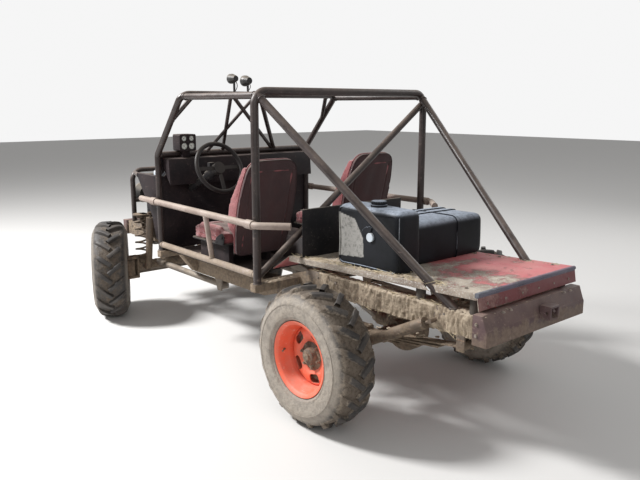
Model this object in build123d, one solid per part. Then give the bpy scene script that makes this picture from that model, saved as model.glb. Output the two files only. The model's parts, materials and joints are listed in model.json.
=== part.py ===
from build123d import *
import os
from math import atan2, cos, degrees, hypot, radians, sin, tan

os.makedirs("parts", exist_ok=True)

# All sizes are millimetres. +X is forward, +Y is left, +Z is up.
# The origin lies on the floor under the middle of the buggy.

# Axles and wheels
wheelbase = 2540
front_overhang = 370
tow_ear = 130
bumper_rear_face = 883
hitch_reach = 58
rear_axle_x = (bumper_rear_face + hitch_reach - wheelbase - front_overhang - tow_ear) / 2
front_axle_x = rear_axle_x + wheelbase
tyre_radius = 389
tyre_width = 270
lug_height = 24
lug_width = 30
lug_count = 18
lug_angle = 38
wheel_y = 735
bead_radius = 190
rim_lip_radius = 208
rim_width = 224
rim_wall = 6
rim_well_radius = 172
disc_offset = 8
disc_wall = 7
hub_radius = 48
hub_length = 70
window_count = 5
window_long = 76
window_wide = 50
window_circle = 124
drum_radius = 140
drum_width = 62
axle_z = tyre_radius

# Steering: the front wheels stand turned to the right, as the buggy was parked
parked_steer = -26
kingpin_y = 590
kingpin_radius = 12
pin_play = 0.08
knuckle_radius = 42
knuckle_height = 130
yoke_gap = 5
yoke_plate = 22
yoke_radius = 34
steering_arm = 160
arm_drop = 62
arm_plate = 14
tie_rod_radius = 14
ball_gap = 6

# Frame: two pressed channels that rise over both axles
rail_outer_y = 410
rail_width = 62
rail_height = 112
rail_wall = 6
rail_low_z = axle_z + 78
rail_rear_z = axle_z + 228
rail_front_z = axle_z + 214
rear_overhang = 800
rear_kick_start = 900
rear_kick_end = 420
front_kick_start = wheelbase - 690
front_kick_end = wheelbase - 390
cross_tube = 60

# Cage tubes
hoop_tube = 48
bar_tube = 42
light_tube = 34
hoop_x = rear_axle_x + 545
post_half = 680
hoop_half = post_half + 34
hoop_top = axle_z + 1396
hoop_bend = 80
post_x = front_axle_x - 750
knee_z = axle_z + 971
header_x = post_x - 370
header_z = axle_z + 1389
header_bend = 60
side_bar_z = axle_z + 642
sill_bar_z = axle_z + 328
brace_foot_x = rear_axle_x - 655
bar_nose = 215

# Sheet metal
sheet = 4
floor_z = axle_z + 280
floor_rear_x = rear_axle_x + 770
tunnel_half = 150
tunnel_top_half = 112
tunnel_height = 150
deck_half = 432
deck_front_x = rear_axle_x + 600
deck_rear_x = rear_axle_x - 815
deck_front_z = axle_z + 401
deck_rear_z = axle_z + 458
deck_lip = 34
valance_height = 84
valance_rake = 14
dash_depth = 95
dash_height = 190

# Bumpers
bumper_height = 150
bumper_depth = 62
front_bumper_half = 430
hitch_y = -48

# Seats
seat_y = post_half - 240
seat_width = 440
seat_back_foot_x = rear_axle_x + 880
seat_back_foot_z = axle_z + 366
seat_back_height = 640
seat_back_lean = 15
seat_back_depth = 110
bolster = 58
cushion_length = 450
cushion_height = 130
cushion_z = axle_z + 425


def tube(points, size, bend=0):
    # a round bar along straight runs, with bent corners where a bend radius is given
    if len(points) == 2:
        path = Line(*points)
    elif bend:
        path = FilletPolyline(*points, radius=bend)
    else:
        path = Polyline(*points)
    return sweep(Plane(origin=path @ 0, z_dir=path % 0) * Circle(size / 2), path=path)


def side_plate(points, y0, y1):
    # an outline of (x, z) points, solid from y0 to y1
    outline = make_face(Polyline(*[(x, z) for x, z in points], close=True))
    return Plane.XZ.offset(-y1) * extrude(outline, y1 - y0)


def cross_plate(points, x0, x1):
    # an outline of (y, z) points, solid from x0 to x1
    outline = make_face(Polyline(*[(y, z) for y, z in points], close=True))
    return Plane.YZ.offset(x0) * extrude(outline, x1 - x0)


def block(x0, x1, y0, y1, z0, z1):
    size = (abs(x1 - x0), abs(y1 - y0), abs(z1 - z0))
    return Pos((x0 + x1) / 2, (y0 + y1) / 2, (z0 + z1) / 2) * Box(*size)


def rod(start, end, radius):
    # a plain cylinder between two points
    line = Line(start, end)
    return Plane(origin=line @ 0, z_dir=line % 0) * Cylinder(
        radius, line.length, align=(Align.CENTER, Align.CENTER, Align.MIN))


def both_sides(shape):
    return [shape, mirror(shape, about=Plane.XZ)]


# Frame rails: (distance ahead of the rear axle, height of the lower edge)
rail_line = [
    (-rear_overhang, rail_rear_z),
    (rear_kick_end, rail_rear_z),
    (rear_kick_start, rail_low_z),
    (front_kick_start, rail_low_z),
    (front_kick_end, rail_front_z),
    (wheelbase + front_overhang, rail_front_z),
]


def rail_bottom(ahead):
    # height of the rail's lower edge at a distance ahead of the rear axle
    for (x0, z0), (x1, z1) in zip(rail_line, rail_line[1:]):
        if x0 <= ahead <= x1:
            return z0 + (z1 - z0) * (ahead - x0) / (x1 - x0)
    return rail_line[-1][1]


def rail_mid(ahead):
    return rail_bottom(ahead) + rail_height / 2


def frame_rail():
    lower = [(rear_axle_x + x, z) for x, z in rail_line]
    upper = [(x, z + rail_height) for x, z in reversed(lower)]
    outline = make_face(Polyline(*lower, *upper, close=True))
    pocket = offset(outline, -rail_wall, kind=Kind.INTERSECTION)
    web = Plane.XZ.offset(-rail_outer_y)
    channel = web * extrude(outline, rail_width)
    return channel - (web.offset(rail_wall) * extrude(pocket, rail_width))


rail_left = frame_rail()
frame_rails = both_sides(rail_left)

# Cross tubes, by their distance ahead of the rear axle
cross_places = [-rear_overhang + 60, -360, rear_kick_start - 10, wheelbase + 175,
                wheelbase + front_overhang - 50]
cross_half = rail_outer_y - rail_wall
crossmembers = [
    rod((rear_axle_x + x, -cross_half, rail_mid(x)), (rear_axle_x + x, cross_half, rail_mid(x)),
        cross_tube / 2)
    for x in cross_places
]


# Main hoop and the windshield frame
def hoop_shape():
    foot = floor_z
    return tube([
        (hoop_x, -hoop_half, foot), (hoop_x, -hoop_half, hoop_top),
        (hoop_x, hoop_half, hoop_top), (hoop_x, hoop_half, foot),
    ], hoop_tube, hoop_bend)


main_hoop = hoop_shape()


def on_screen(share, y):
    # a point in the raked screen plane, 0 at the knees and 1 at the header
    return (post_x + (header_x - post_x) * share, y, knee_z + (header_z - knee_z) * share)


# Screen struts: (share and y of one end, share and y of the other, tube size)
screen_struts = [
    (1, 291, 0, 140, 26),
    (1, 80, 0, 284, 24),
    (1, 50, 0, -346, 32),
    (1, 285, 0, -332, 28),
    (0.55, post_half, 1, post_half - 99, 30),
    (0.55, -post_half, 1, 99 - post_half, 30),
]


def screen_shape():
    frame = tube([
        (post_x, -post_half, floor_z), (post_x, -post_half, knee_z),
        (header_x, -post_half, header_z), (header_x, post_half, header_z),
        (post_x, post_half, knee_z), (post_x, post_half, floor_z),
    ], bar_tube + 2, header_bend)
    frame += rod(on_screen(0, -post_half), on_screen(0, post_half), bar_tube / 2)
    for share0, y0, share1, y1, size in screen_struts:
        frame += rod(on_screen(share0, y0), on_screen(share1, y1), size / 2)
    return frame


windshield_frame = screen_shape()

# Braces: from the hoop's corners to the rails, and one across the hoop
corner_drop = hoop_bend * (1 - cos(radians(45)))
brace_top_y = hoop_half - corner_drop
brace_top_z = hoop_top - corner_drop
rail_top_rear = rail_rear_z + rail_height
brace_foot_y = rail_outer_y - rail_width / 2
brace_left = rod((hoop_x, brace_top_y, brace_top_z), (brace_foot_x, brace_foot_y, rail_top_rear - 10),
                 hoop_tube / 2 - 0.5)
brace_left -= block(brace_foot_x - 200, brace_foot_x + 200, 0, 900, rail_top_rear - 200, rail_top_rear)
diagonal = rod((hoop_x, -brace_top_y, brace_top_z - 55), (hoop_x, hoop_half, floor_z + 40), bar_tube / 2)
cage_braces = [piece - main_hoop for piece in both_sides(brace_left)]
diagonal = diagonal - main_hoop - cage_braces[1]

roof_front_y = post_half - header_bend * (1 - cos(radians(45)))
roof_front_z = header_z - header_bend * (1 - cos(radians(45)))
roof_left = rod((hoop_x, brace_top_y, brace_top_z), (header_x, roof_front_y, roof_front_z), bar_tube / 2)
roof_rails = [piece - main_hoop - windshield_frame for piece in both_sides(roof_left)]
roof_rails = [roof_rails[0] - cage_braces[0], roof_rails[1] - cage_braces[1]]


# Side bars: an upper bar outside the posts, a lower one between them, and a stub
def side_bars_shape():
    hoop_bar_y = hoop_half + (hoop_tube + bar_tube) / 2
    post_bar_y = post_half + (bar_tube + 2 + bar_tube) / 2
    slope = (hoop_bar_y - post_bar_y) / (post_x - hoop_x)
    nose_x = post_x + bar_nose
    tail_x = hoop_x - 60
    upper = tube([
        (nose_x, post_bar_y - slope * bar_nose, side_bar_z),
        (tail_x, hoop_bar_y + slope * 60, side_bar_z),
        (tail_x - 150, hoop_bar_y - 135, side_bar_z),
    ], bar_tube, 70)
    lower = rod((post_x, post_half, sill_bar_z - 4), (hoop_x, hoop_half, sill_bar_z + 4), bar_tube / 2)
    along = 0.416
    stub_x = hoop_x + (post_x - hoop_x) * along
    low_y = hoop_half + (post_half - hoop_half) * along
    high_y = hoop_bar_y + (post_bar_y - hoop_bar_y) * along
    stub = rod((stub_x, low_y, sill_bar_z), (stub_x, high_y, side_bar_z), light_tube / 2)
    bars = upper + lower + stub
    for x, y in [(hoop_x, hoop_bar_y), (post_x, post_bar_y)]:
        bars += rod((x - 32, y, side_bar_z), (x + 32, y, side_bar_z), bar_tube / 2 + 6)
    return bars - main_hoop - windshield_frame


side_left = side_bars_shape()
side_bars = both_sides(side_left)
cage_braces.append(diagonal - side_left)

# Floor pan with its gearbox tunnel and the seat runners
def floor_shape():
    half = post_half - bar_tube / 2 - 8
    front = post_x - bar_tube / 2 - 8
    pan = block(floor_rear_x, front, -half, half, floor_z, floor_z + sheet)
    pan += block(floor_rear_x, front, half - sheet, half, floor_z, floor_z + 40)
    pan += block(floor_rear_x, front, -half, -half + sheet, floor_z, floor_z + 40)
    outer = [(-tunnel_half, floor_z), (-tunnel_top_half, floor_z + tunnel_height),
             (tunnel_top_half, floor_z + tunnel_height), (tunnel_half, floor_z)]
    inner = [(-tunnel_half + sheet, floor_z), (-tunnel_top_half + sheet, floor_z + tunnel_height - sheet),
             (tunnel_top_half - sheet, floor_z + tunnel_height - sheet), (tunnel_half - sheet, floor_z)]
    pan += cross_plate(outer, floor_rear_x, front)
    pan -= cross_plate(inner, floor_rear_x + sheet, front)
    for side in (-1, 1):
        for place in (-1, 1):
            y = side * seat_y + place * 150
            pan += block(seat_back_foot_x + seat_back_depth + 20, seat_back_foot_x + 480, y - 18, y + 18,
                         floor_z, cushion_z)
    return pan


floor_pan = floor_shape()

# Outriggers carry the hoop's feet, the posts and the floor from the rails
def outrigger(x, reach):
    low = rail_bottom(x - rear_axle_x) + 14
    return cross_plate([
        (rail_outer_y, low), (rail_outer_y + 24, low), (rail_outer_y + 130, floor_z - 46),
        (reach, floor_z - 46), (reach, floor_z), (rail_outer_y, floor_z),
    ], x - 26, x + 26)


outriggers = both_sides(outrigger(hoop_x, hoop_half + 34)) + both_sides(outrigger(post_x - 20,
                                                                                  post_half + 34))


# Cowl: the firewall between the posts and the raked side plates ahead of them
def cowl_shape():
    half = post_half - bar_tube / 2 - 1
    wall = block(post_x, post_x + sheet, -half, half, floor_z, knee_z - bar_tube / 2)
    opening = [(-tunnel_half, floor_z), (-tunnel_top_half, floor_z + tunnel_height),
               (tunnel_top_half, floor_z + tunnel_height), (tunnel_half, floor_z)]
    wall -= cross_plate(opening, post_x - 10, post_x + 20)
    slot = Pos(post_x, post_half - 66, axle_z + 852) * Rot(45, 0, 0) * Box(40, 22, 132)
    wall -= slot
    for y in (-430, 430):
        wall += block(post_x, post_x + 14, y - 60, y + 60, axle_z + 380, axle_z + 760)
    side = [
        (post_x, axle_z + 806), (post_x + 395, axle_z + 806), (post_x + 175, axle_z + 520),
        (post_x + 120, floor_z + 60), (post_x, floor_z + 60),
    ]
    plates = side_plate(side, half - sheet, half)
    plates += rod((post_x, half - 11, axle_z + 806), (post_x + 395, half - 11, axle_z + 806), 11)
    plates += rod((post_x + 395, half - 11, axle_z + 806), (post_x + 175, half - 11, axle_z + 520), 11)
    plates += mirror(plates, about=Plane.XZ)
    return wall + plates - windshield_frame


cowl = cowl_shape()


# Dashboard: a folded panel under the knee bar, with the instrument box on top
def dashboard_shape():
    half = post_half - bar_tube / 2 - 12
    face_x = post_x - dash_depth
    top = knee_z - bar_tube / 2
    panel = side_plate([
        (post_x, top), (face_x, top - 8), (face_x - 14, top - dash_height),
        (face_x - 14 + sheet, top - dash_height), (face_x + sheet, top - 8 - sheet), (post_x, top - sheet),
    ], -half, half)
    for side in (-1, 1):
        y = side * half
        panel += side_plate([(post_x, top), (face_x, top - 8), (face_x - 14, top - dash_height),
                             (post_x, top - 60)],
                            min(y, y - side * sheet), max(y, y - side * sheet))
    box_y = post_half - 196
    box = block(post_x - 90, post_x + 10, box_y - 66, box_y + 66, knee_z + 23, knee_z + 142)
    box = fillet(box.edges().filter_by(Axis.X), 12)
    for y, z, r in [(box_y - 30, 58, 24), (box_y + 30, 58, 24), (box_y - 30, 112, 20),
                    (box_y + 30, 112, 20)]:
        box -= rod((post_x - 95, y, knee_z + z), (post_x - 84, y, knee_z + z), r)
    foot = block(post_x - 60, post_x - 30, box_y - 30, box_y + 30, top - 2, knee_z + 24)
    return panel + box + foot


dashboard = dashboard_shape() - windshield_frame


# Deck: one folded sheet, from the toe behind the seats to the rear valance
deck_slope = degrees(atan2(deck_rear_z - deck_front_z, deck_front_x - deck_rear_x))


def deck_height(x):
    return deck_front_z + (deck_front_x - x) * tan(radians(deck_slope))


def deck_shape():
    toe = (floor_rear_x, floor_z + sheet)
    skin = trace(Polyline(
        (toe[0], toe[1] + 6), (deck_front_x, deck_front_z - sheet / 2),
                          (deck_rear_x, deck_rear_z - sheet / 2),
        (deck_rear_x - valance_rake, deck_rear_z - valance_height)), sheet)
    deck = Plane.XZ.offset(-deck_half) * extrude(skin, 2 * deck_half)
    lip = [(deck_front_x, deck_front_z), (deck_rear_x, deck_rear_z),
           (deck_rear_x, deck_rear_z - deck_lip), (deck_front_x, deck_front_z - deck_lip)]
    for side in (-1, 1):
        y = side * deck_half
        deck += side_plate(lip, min(y, y - side * sheet), max(y, y - side * sheet))
    deck += rod((deck_rear_x, -deck_half, deck_rear_z - 9), (deck_rear_x, deck_half, deck_rear_z - 9), 11)
    for brace in both_sides(rod((hoop_x, brace_top_y, brace_top_z),
                                (brace_foot_x, brace_foot_y, rail_top_rear - 10), hoop_tube / 2 + 6)):
        deck -= brace
    return deck


rear_deck = deck_shape() - floor_pan
deck_play = 0.01
under_deck = side_plate([
    (deck_front_x, deck_front_z + deck_play), (deck_rear_x, deck_rear_z + deck_play),
    (deck_rear_x, deck_rear_z - 200), (deck_front_x, deck_front_z - 200)], -600, 600)

# Body mounts: rubber pucks between the rails and the deck or floor
def mount_puck(ahead, top):
    x = rear_axle_x + ahead
    low = rail_bottom(ahead) + rail_height
    y = rail_outer_y - rail_width / 2
    return rod((x, y, low), (x, y, top), 26)


pucks = []
for ahead in (-770, -430, 330):
    pucks += both_sides(mount_puck(ahead, deck_height(rear_axle_x + ahead) - sheet / 2))
for ahead in (rear_kick_start + 100, front_kick_start - 250):
    pucks += both_sides(mount_puck(ahead, floor_z))
body_mounts = [puck - rear_deck for puck in pucks]

# Bulkhead that stands on the deck behind the seats
bulkhead_x = rear_axle_x + 470
bulkhead_half = deck_half - 2
bulkhead_low = deck_height(bulkhead_x) - 6
rear_bulkhead = block(bulkhead_x, bulkhead_x + sheet, -bulkhead_half, bulkhead_half, bulkhead_low,
                      axle_z + 702)
rear_bulkhead += block(bulkhead_x, bulkhead_x + 24, -bulkhead_half, bulkhead_half,
                       axle_z + 702 - sheet, axle_z + 702)
rear_bulkhead += block(bulkhead_x, bulkhead_x + 24, -bulkhead_half, bulkhead_half, bulkhead_low,
                       bulkhead_low + 10)
rear_bulkhead -= under_deck


# Fuel tank: a moulded tank with a high left part, lying on the deck
def tank_shape():
    base = deck_height(rear_axle_x + 200) - 2
    tank_left = deck_half - 32
    tank_right = -deck_half - 36
    front = rear_axle_x + 200
    low = block(rear_axle_x - 190, front, tank_right, 300, base, axle_z + 680)
    low = fillet(low.edges().filter_by(Axis.Z), 42)
    low = fillet(low.edges().group_by(Axis.Z)[-1], 34)
    high = block(rear_axle_x - 290, front, 215, tank_left, base, axle_z + 775)
    high = fillet(high.edges().filter_by(Axis.Z), 36)
    high = fillet(high.edges().group_by(Axis.Z)[-1], 30)
    tank = low + high
    # pinch seams of the two mouldings
    seam = block(rear_axle_x - 191, front, -212, -208, base + 20, axle_z + 681)
    seam += block(rear_axle_x - 291, front, 388, 393, base + 20, axle_z + 776)
    tank += seam & low.moved(Location((-2, 0, 2))) + high.moved(Location((-2, 0, 2)))
    neck = rod((rear_axle_x - 50, 310, axle_z + 770), (rear_axle_x - 50, 310, axle_z + 784), 46)
    cap = rod((rear_axle_x - 50, 310, axle_z + 782), (rear_axle_x - 50, 310, axle_z + 806), 41)
    button = rod((rear_axle_x - 75, tank_left - 4, axle_z + 612),
                 (rear_axle_x - 75, tank_left + 8, axle_z + 612), 25)
    return tank + neck + cap + button - under_deck


fuel_tank = tank_shape()


# Seats
def seat_back_shape():
    w = seat_width / 2
    outline = make_face(Polyline((-w + 30, 0), (w - 30, 0), (w, 200), (w, 430), (w - 40, seat_back_height),
                                 (-w + 40, seat_back_height), (-w, 430), (-w, 200), close=True))
    outline = fillet(outline.vertices().group_by(Axis.Y)[-1], 80)
    back = extrude(Plane.YZ * outline, seat_back_depth - 30)
    wing = [(seat_back_depth - 30, 120), (seat_back_depth + 45, 170), (seat_back_depth + 45, 330),
            (seat_back_depth - 30, 520)]
    for side in (-1, 1):
        y = side * (w - 4)
        back += side_plate(wing, min(y, y - side * bolster), max(y, y - side * bolster))
    front = seat_back_depth - 30
    lumbar = [(front - 10, 30), (front + 26, 70), (front + 34, 190), (front + 24, 330), (front - 10, 470)]
    back += side_plate(lumbar, -w + bolster + 4, w - bolster - 4)
    return Pos(seat_back_foot_x, 0, seat_back_foot_z) * Rot(0, -seat_back_lean, 0) * back


def cushion_shape():
    w = seat_width / 2
    x0 = seat_back_foot_x + seat_back_depth - 6
    pad = block(x0, x0 + cushion_length, -w, w, cushion_z, cushion_z + cushion_height - 26)
    pad = fillet(pad.edges().filter_by(Axis.Z), 45)
    for side in (-1, 1):
        y = side * w
        pad += block(x0 + 60, x0 + cushion_length - 60, min(y, y - side * bolster),
                     max(y, y - side * bolster),
                     cushion_z + 20, cushion_z + cushion_height)
    return pad


back_plain = seat_back_shape()
cushion_plain = cushion_shape() - seat_back_shape()


# Engine: a vee block with an air cleaner on top, between the rails
engine_rear_x = post_x + 170
engine_length = 520
crank_z = axle_z + 322
bank_angle = 42


def engine_shape():
    x0 = engine_rear_x
    x1 = x0 + engine_length
    block_sides = [(-150, crank_z - 60), (150, crank_z - 60), (150, crank_z + 30), (70, crank_z + 190),
                   (-70, crank_z + 190), (-150, crank_z + 30)]
    body = cross_plate(block_sides, x0, x1)
    body += cross_plate([(-110, crank_z - 130), (110, crank_z - 130), (125, crank_z - 60),
                         (-125, crank_z - 60)],
                        x0 + 60, x1 - 40)
    for side in (-1, 1):
        bank = block(x0 + 15, x1 - 15, -75, 75, 60, 250)
        cover = block(x0 + 25, x1 - 25, -58, 58, 250, 312)
        cover = fillet(cover.edges().group_by(Axis.Z)[-1], 22)
        body += Pos(0, 0, crank_z - 20) * Rot(side * bank_angle, 0, 0) * (bank + cover)
    body += block(x0 + 60, x1 - 70, -62, 62, crank_z + 150, crank_z + 262)
    middle = (x0 + x1) / 2
    body += rod((middle, 0, crank_z + 262), (middle, 0, crank_z + 292), 60)
    cleaner = rod((middle, 0, crank_z + 292), (middle, 0, crank_z + 362), 168)
    cleaner = fillet(cleaner.edges(), 12)
    body += cleaner + rod((middle, 0, crank_z + 362), (middle, 0, crank_z + 380), 18)
    for y, z, r in [(0, 0, 82), (0, 150, 62), (-150, 120, 38), (150, 150, 38)]:
        body += rod((x1 - 20, y, crank_z + z), (x1 + 44, y, crank_z + z), r)
    body += rod((x1 + 44, 0, crank_z + 150), (x1 + 78, 0, crank_z + 150), 34)
    blade = Pos(x1 + 70, 0, crank_z + 150) * Rot(0, 0, 24) * Box(5, 62, 150,
                                                                 align=(Align.CENTER, Align.CENTER,
                                                                        Align.MIN))
    for turn in range(6):
        body += Pos(x1 + 70, 0, crank_z + 150) * Rot(turn * 60, 0, 0) * Pos(-x1 - 70, 0,
                                                                            -crank_z - 150) * blade
    for side in (-1, 1):
        body += block(middle - 35, middle + 35, side * 140, side * (rail_outer_y - rail_width),
                      crank_z - 44, crank_z - 14)
    return body


engine = engine_shape()

# Gearbox and transfer case, in line behind the engine
bell_radius = 168
case_x = rear_axle_x + 1240
case_length = 290
front_output_y = -165


def gearbox_shape():
    x = engine_rear_x
    box = rod((x, 0, crank_z), (x - 60, 0, crank_z), bell_radius)
    box += Plane(origin=(x - 60, 0, crank_z), z_dir=(-1, 0, 0)) * Cone(
        bell_radius, 98, 100, align=(Align.CENTER, Align.CENTER, Align.MIN))
    box += rod((x - 150, 0, crank_z - 12), (case_x, 0, crank_z - 12), 92)
    box += cross_plate([(-100, crank_z - 96), (100, crank_z - 96), (86, crank_z - 150),
                        (-86, crank_z - 150)],
                       case_x + 120, case_x + 330)
    low = crank_z - 210
    box += cross_plate([(-92, crank_z + 60), (92, crank_z + 60), (104, crank_z - 70),
                        (front_output_y + 60, low),
                        (front_output_y - 62, low), (front_output_y - 62, low + 110), (-104, crank_z - 66)],
                       case_x - case_length, case_x)
    box += rod((case_x, front_output_y, low + 62), (case_x + 50, front_output_y, low + 62), 44)
    box += rod((case_x - case_length, 0, crank_z - 70), (case_x - case_length - 46, 0, crank_z - 70), 44)
    return box


gearbox = gearbox_shape() - engine

# Drive shafts, each with its two joints
pinion_y = front_output_y
shaft_tube = 60
rear_pinion_x = rear_axle_x + 230
front_pinion_x = front_axle_x - 230


def drive_shaft(start, end):
    bar = rod(start, end, shaft_tube / 2)
    line = Line(start, end)
    for share in (0.02, 0.98):
        spot = line @ share
        bar += Plane(origin=spot, z_dir=line % 0) * Cylinder(40, line.length * 0.04)
    return bar


transfer_z = crank_z - 210 + 62
shaft_pair = [
    drive_shaft((case_x - case_length - 47, 0, crank_z - 70), (rear_pinion_x + 1, 0, axle_z + 8)),
    drive_shaft((case_x + 51, front_output_y, transfer_z), (front_pinion_x - 1, pinion_y, axle_z + 8)),
]


# Axles: a tube with a differential bowl, a pinion nose and end flanges
def axle_housing(x, bowl_y, nose, end_y, bowl_radius):
    housing = rod((x, -end_y, axle_z), (x, end_y, axle_z), 40)
    bowl = Pos(x, bowl_y, axle_z) * Rot(90, 0, 0) * Cylinder(bowl_radius, 130)
    bowl = fillet(bowl.edges(), 34)
    housing += bowl
    housing += rod((x, bowl_y, axle_z + 8), (x + nose, bowl_y, axle_z + 8), 46)
    for side in (-1, 1):
        housing += rod((x, bowl_y + side * 60, axle_z), (x, bowl_y + side * 110, axle_z), 62)
    return housing


rear_flange_y = wheel_y - 70
rear_axle = axle_housing(rear_axle_x, 0, 230, rear_flange_y, 138)
for side in (-1, 1):
    rear_axle += rod((rear_axle_x, side * (rear_flange_y - 12), axle_z),
                     (rear_axle_x, side * rear_flange_y, axle_z), 82)

yoke_top = knuckle_height / 2 + yoke_gap
front_tube_end = kingpin_y - 70


def front_axle_shape():
    housing = axle_housing(front_axle_x, pinion_y, -230, front_tube_end, 130)
    for side in (-1, 1):
        inner = side * front_tube_end
        back = block(front_axle_x - 34, front_axle_x + 34, inner, inner + side * 18,
                     axle_z - yoke_top - yoke_plate, axle_z + yoke_top + yoke_plate)
        housing += back
        for up in (-1, 1):
            z0 = axle_z + up * yoke_top
            z1 = axle_z + up * (yoke_top + yoke_plate)
            housing += block(front_axle_x - 34, front_axle_x + 34, inner, side * kingpin_y, z0, z1)
            ear = rod((front_axle_x, side * kingpin_y, min(z0, z1)),
                      (front_axle_x, side * kingpin_y, max(z0, z1)), yoke_radius)
            housing += ear
        bore = rod((front_axle_x, side * kingpin_y, axle_z - 200),
                   (front_axle_x, side * kingpin_y, axle_z + 200),
                   kingpin_radius + pin_play)
        housing -= bore
    return housing


front_axle = front_axle_shape()
drive_shafts = [shaft_pair[0] - gearbox - rear_axle, shaft_pair[1] - gearbox - front_axle]


# Rear leaf springs: a stack of arched leaves, with shackles under the rail ends
eye_ahead = 700


def leaf_spring():
    y = rail_outer_y - rail_width / 2
    eye_front = (rear_axle_x + eye_ahead, rail_bottom(eye_ahead) - 42)
    eye_rear = (rear_axle_x - 720, rail_rear_z - 58)
    seat = axle_z + 40
    spring = None
    for number, (front, rear) in enumerate([(1.0, 1.0), (0.8, 0.8), (0.62, 0.62), (0.44, 0.44),
                                            (0.28, 0.28)]):
        drop = number * 9
        top = seat + 46 - drop
        front_x = rear_axle_x + (eye_front[0] - rear_axle_x) * front
        rear_x = rear_axle_x + (eye_rear[0] - rear_axle_x) * rear
        front_z = top + (eye_front[1] - seat - 46) * front ** 2
        rear_z = top + (eye_rear[1] - seat - 46) * rear ** 2
        leaf = side_plate([
            (front_x, front_z), (rear_axle_x + 110 * front, top), (rear_axle_x - 110 * rear, top),
                           (rear_x, rear_z),
            (rear_x, rear_z - 9), (rear_axle_x - 110 * rear, top - 9), (rear_axle_x + 110 * front, top - 9),
            (front_x, front_z - 9)], y - 30, y + 30)
        spring = leaf if spring is None else spring + leaf
    for x, z in (eye_front, eye_rear):
        spring += rod((x, y - 30, z - 4), (x, y + 30, z - 4), 22)
    for side in (-1, 1):
        plate_y = y + side * 35
        spring += side_plate([
            (eye_rear[0] - 24, eye_rear[1] - 26), (eye_rear[0] + 24, eye_rear[1] - 26),
            (eye_rear[0] + 24, rail_rear_z), (eye_rear[0] - 24, rail_rear_z)], plate_y - 5, plate_y + 5)
        front_top = rail_bottom(eye_ahead)
        spring += side_plate([
            (eye_front[0] - 40, front_top - 66), (eye_front[0] + 30, front_top - 66),
            (eye_front[0] + 60, front_top + 40), (eye_front[0] - 80, front_top + 40)], plate_y - 5,
                             plate_y + 5)
    spring += block(rear_axle_x - 60, rear_axle_x + 60, y - 34, y + 34, seat + 46, seat + 60)
    spring += block(rear_axle_x - 60, rear_axle_x + 60, y - 34, y + 34, axle_z - 56, axle_z - 42)
    for dx in (-46, 46):
        for side in (-1, 1):
            spring += rod((rear_axle_x + dx, y + side * 26, axle_z - 62),
                          (rear_axle_x + dx, y + side * 26, seat + 66), 8)
    return spring - rear_axle - rail_left


spring_left = leaf_spring()
leaf_springs = both_sides(spring_left)

# Front coil springs, as the outer shape of their turns, under towers on the rails
coil_radius = 54
coil_wire = 16
coil_turns = 6
coil_y = 465
coil_x = front_axle_x + 20
coil_foot_z = axle_z + 62
coil_top_z = axle_z + 420


def coil_shape():
    pitch = (coil_top_z - coil_foot_z) / coil_turns
    outline = [(coil_radius - coil_wire, coil_foot_z)]
    for turn in range(coil_turns):
        low = coil_foot_z + turn * pitch
        outline += [(coil_radius - 5, low), (coil_radius, low + pitch * 0.3),
                    (coil_radius - 5, low + pitch * 0.6)]
        outline += [(coil_radius - coil_wire + 4, low + pitch * 0.8)]
    outline += [(coil_radius - 5, coil_top_z), (coil_radius - coil_wire, coil_top_z)]
    face = make_face(Polyline(*outline, close=True))
    ring = revolve(Plane.XZ * face, Axis.Z)
    return Pos(coil_x, coil_y, 0) * ring


def coil_seat():
    foot = rod((coil_x, coil_y, axle_z + 46), (coil_x, coil_y, coil_foot_z), coil_radius + 4)
    arm = block(front_axle_x - 30, front_axle_x + 30, coil_y - 40, coil_y + 40, axle_z + 20, axle_z + 50)
    tower = rod((coil_x, coil_y, coil_top_z), (coil_x, coil_y, coil_top_z + 14), coil_radius + 10)
    tower += block(coil_x - 50, coil_x + 50, rail_outer_y, coil_y, coil_top_z, coil_top_z + 14)
    tower += block(coil_x - 50, coil_x + 50, rail_outer_y, rail_outer_y + 8, rail_front_z + 20,
                   coil_top_z + 14)
    return [foot + arm - front_axle, tower]


seats_left = coil_seat()
coil_springs = both_sides(coil_shape() + seats_left[0] + seats_left[1])


# Radius arms from the front axle back to brackets under the rails
arm_y = 345
arm_rear_x = front_axle_x - 1040


def radius_arm():
    front = (front_axle_x - 20, arm_y, axle_z + 20)
    rear = (arm_rear_x, arm_y, axle_z + 18)
    arm = rod(front, rear, 24) + rod((arm_rear_x, arm_y - 28, axle_z + 18),
                                     (arm_rear_x, arm_y + 28, axle_z + 18), 30)
    hanger = side_plate([
        (arm_rear_x - 40, rail_low_z), (arm_rear_x + 60, rail_low_z), (arm_rear_x + 24, axle_z - 18),
        (arm_rear_x - 24, axle_z - 18)], arm_y + 28, arm_y + 38)
    return arm + hanger - front_axle


radius_arms = both_sides(radius_arm())


# Shock absorbers: a body and a rod between pins
def shock(lower, upper):
    line = Line(lower, upper)
    middle = line @ 0.55
    return rod(lower, upper, 9) + rod(lower, tuple(middle), 27) + rod(tuple(line @ 0.5),
                                                                      tuple(line @ 0.92), 31)


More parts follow.
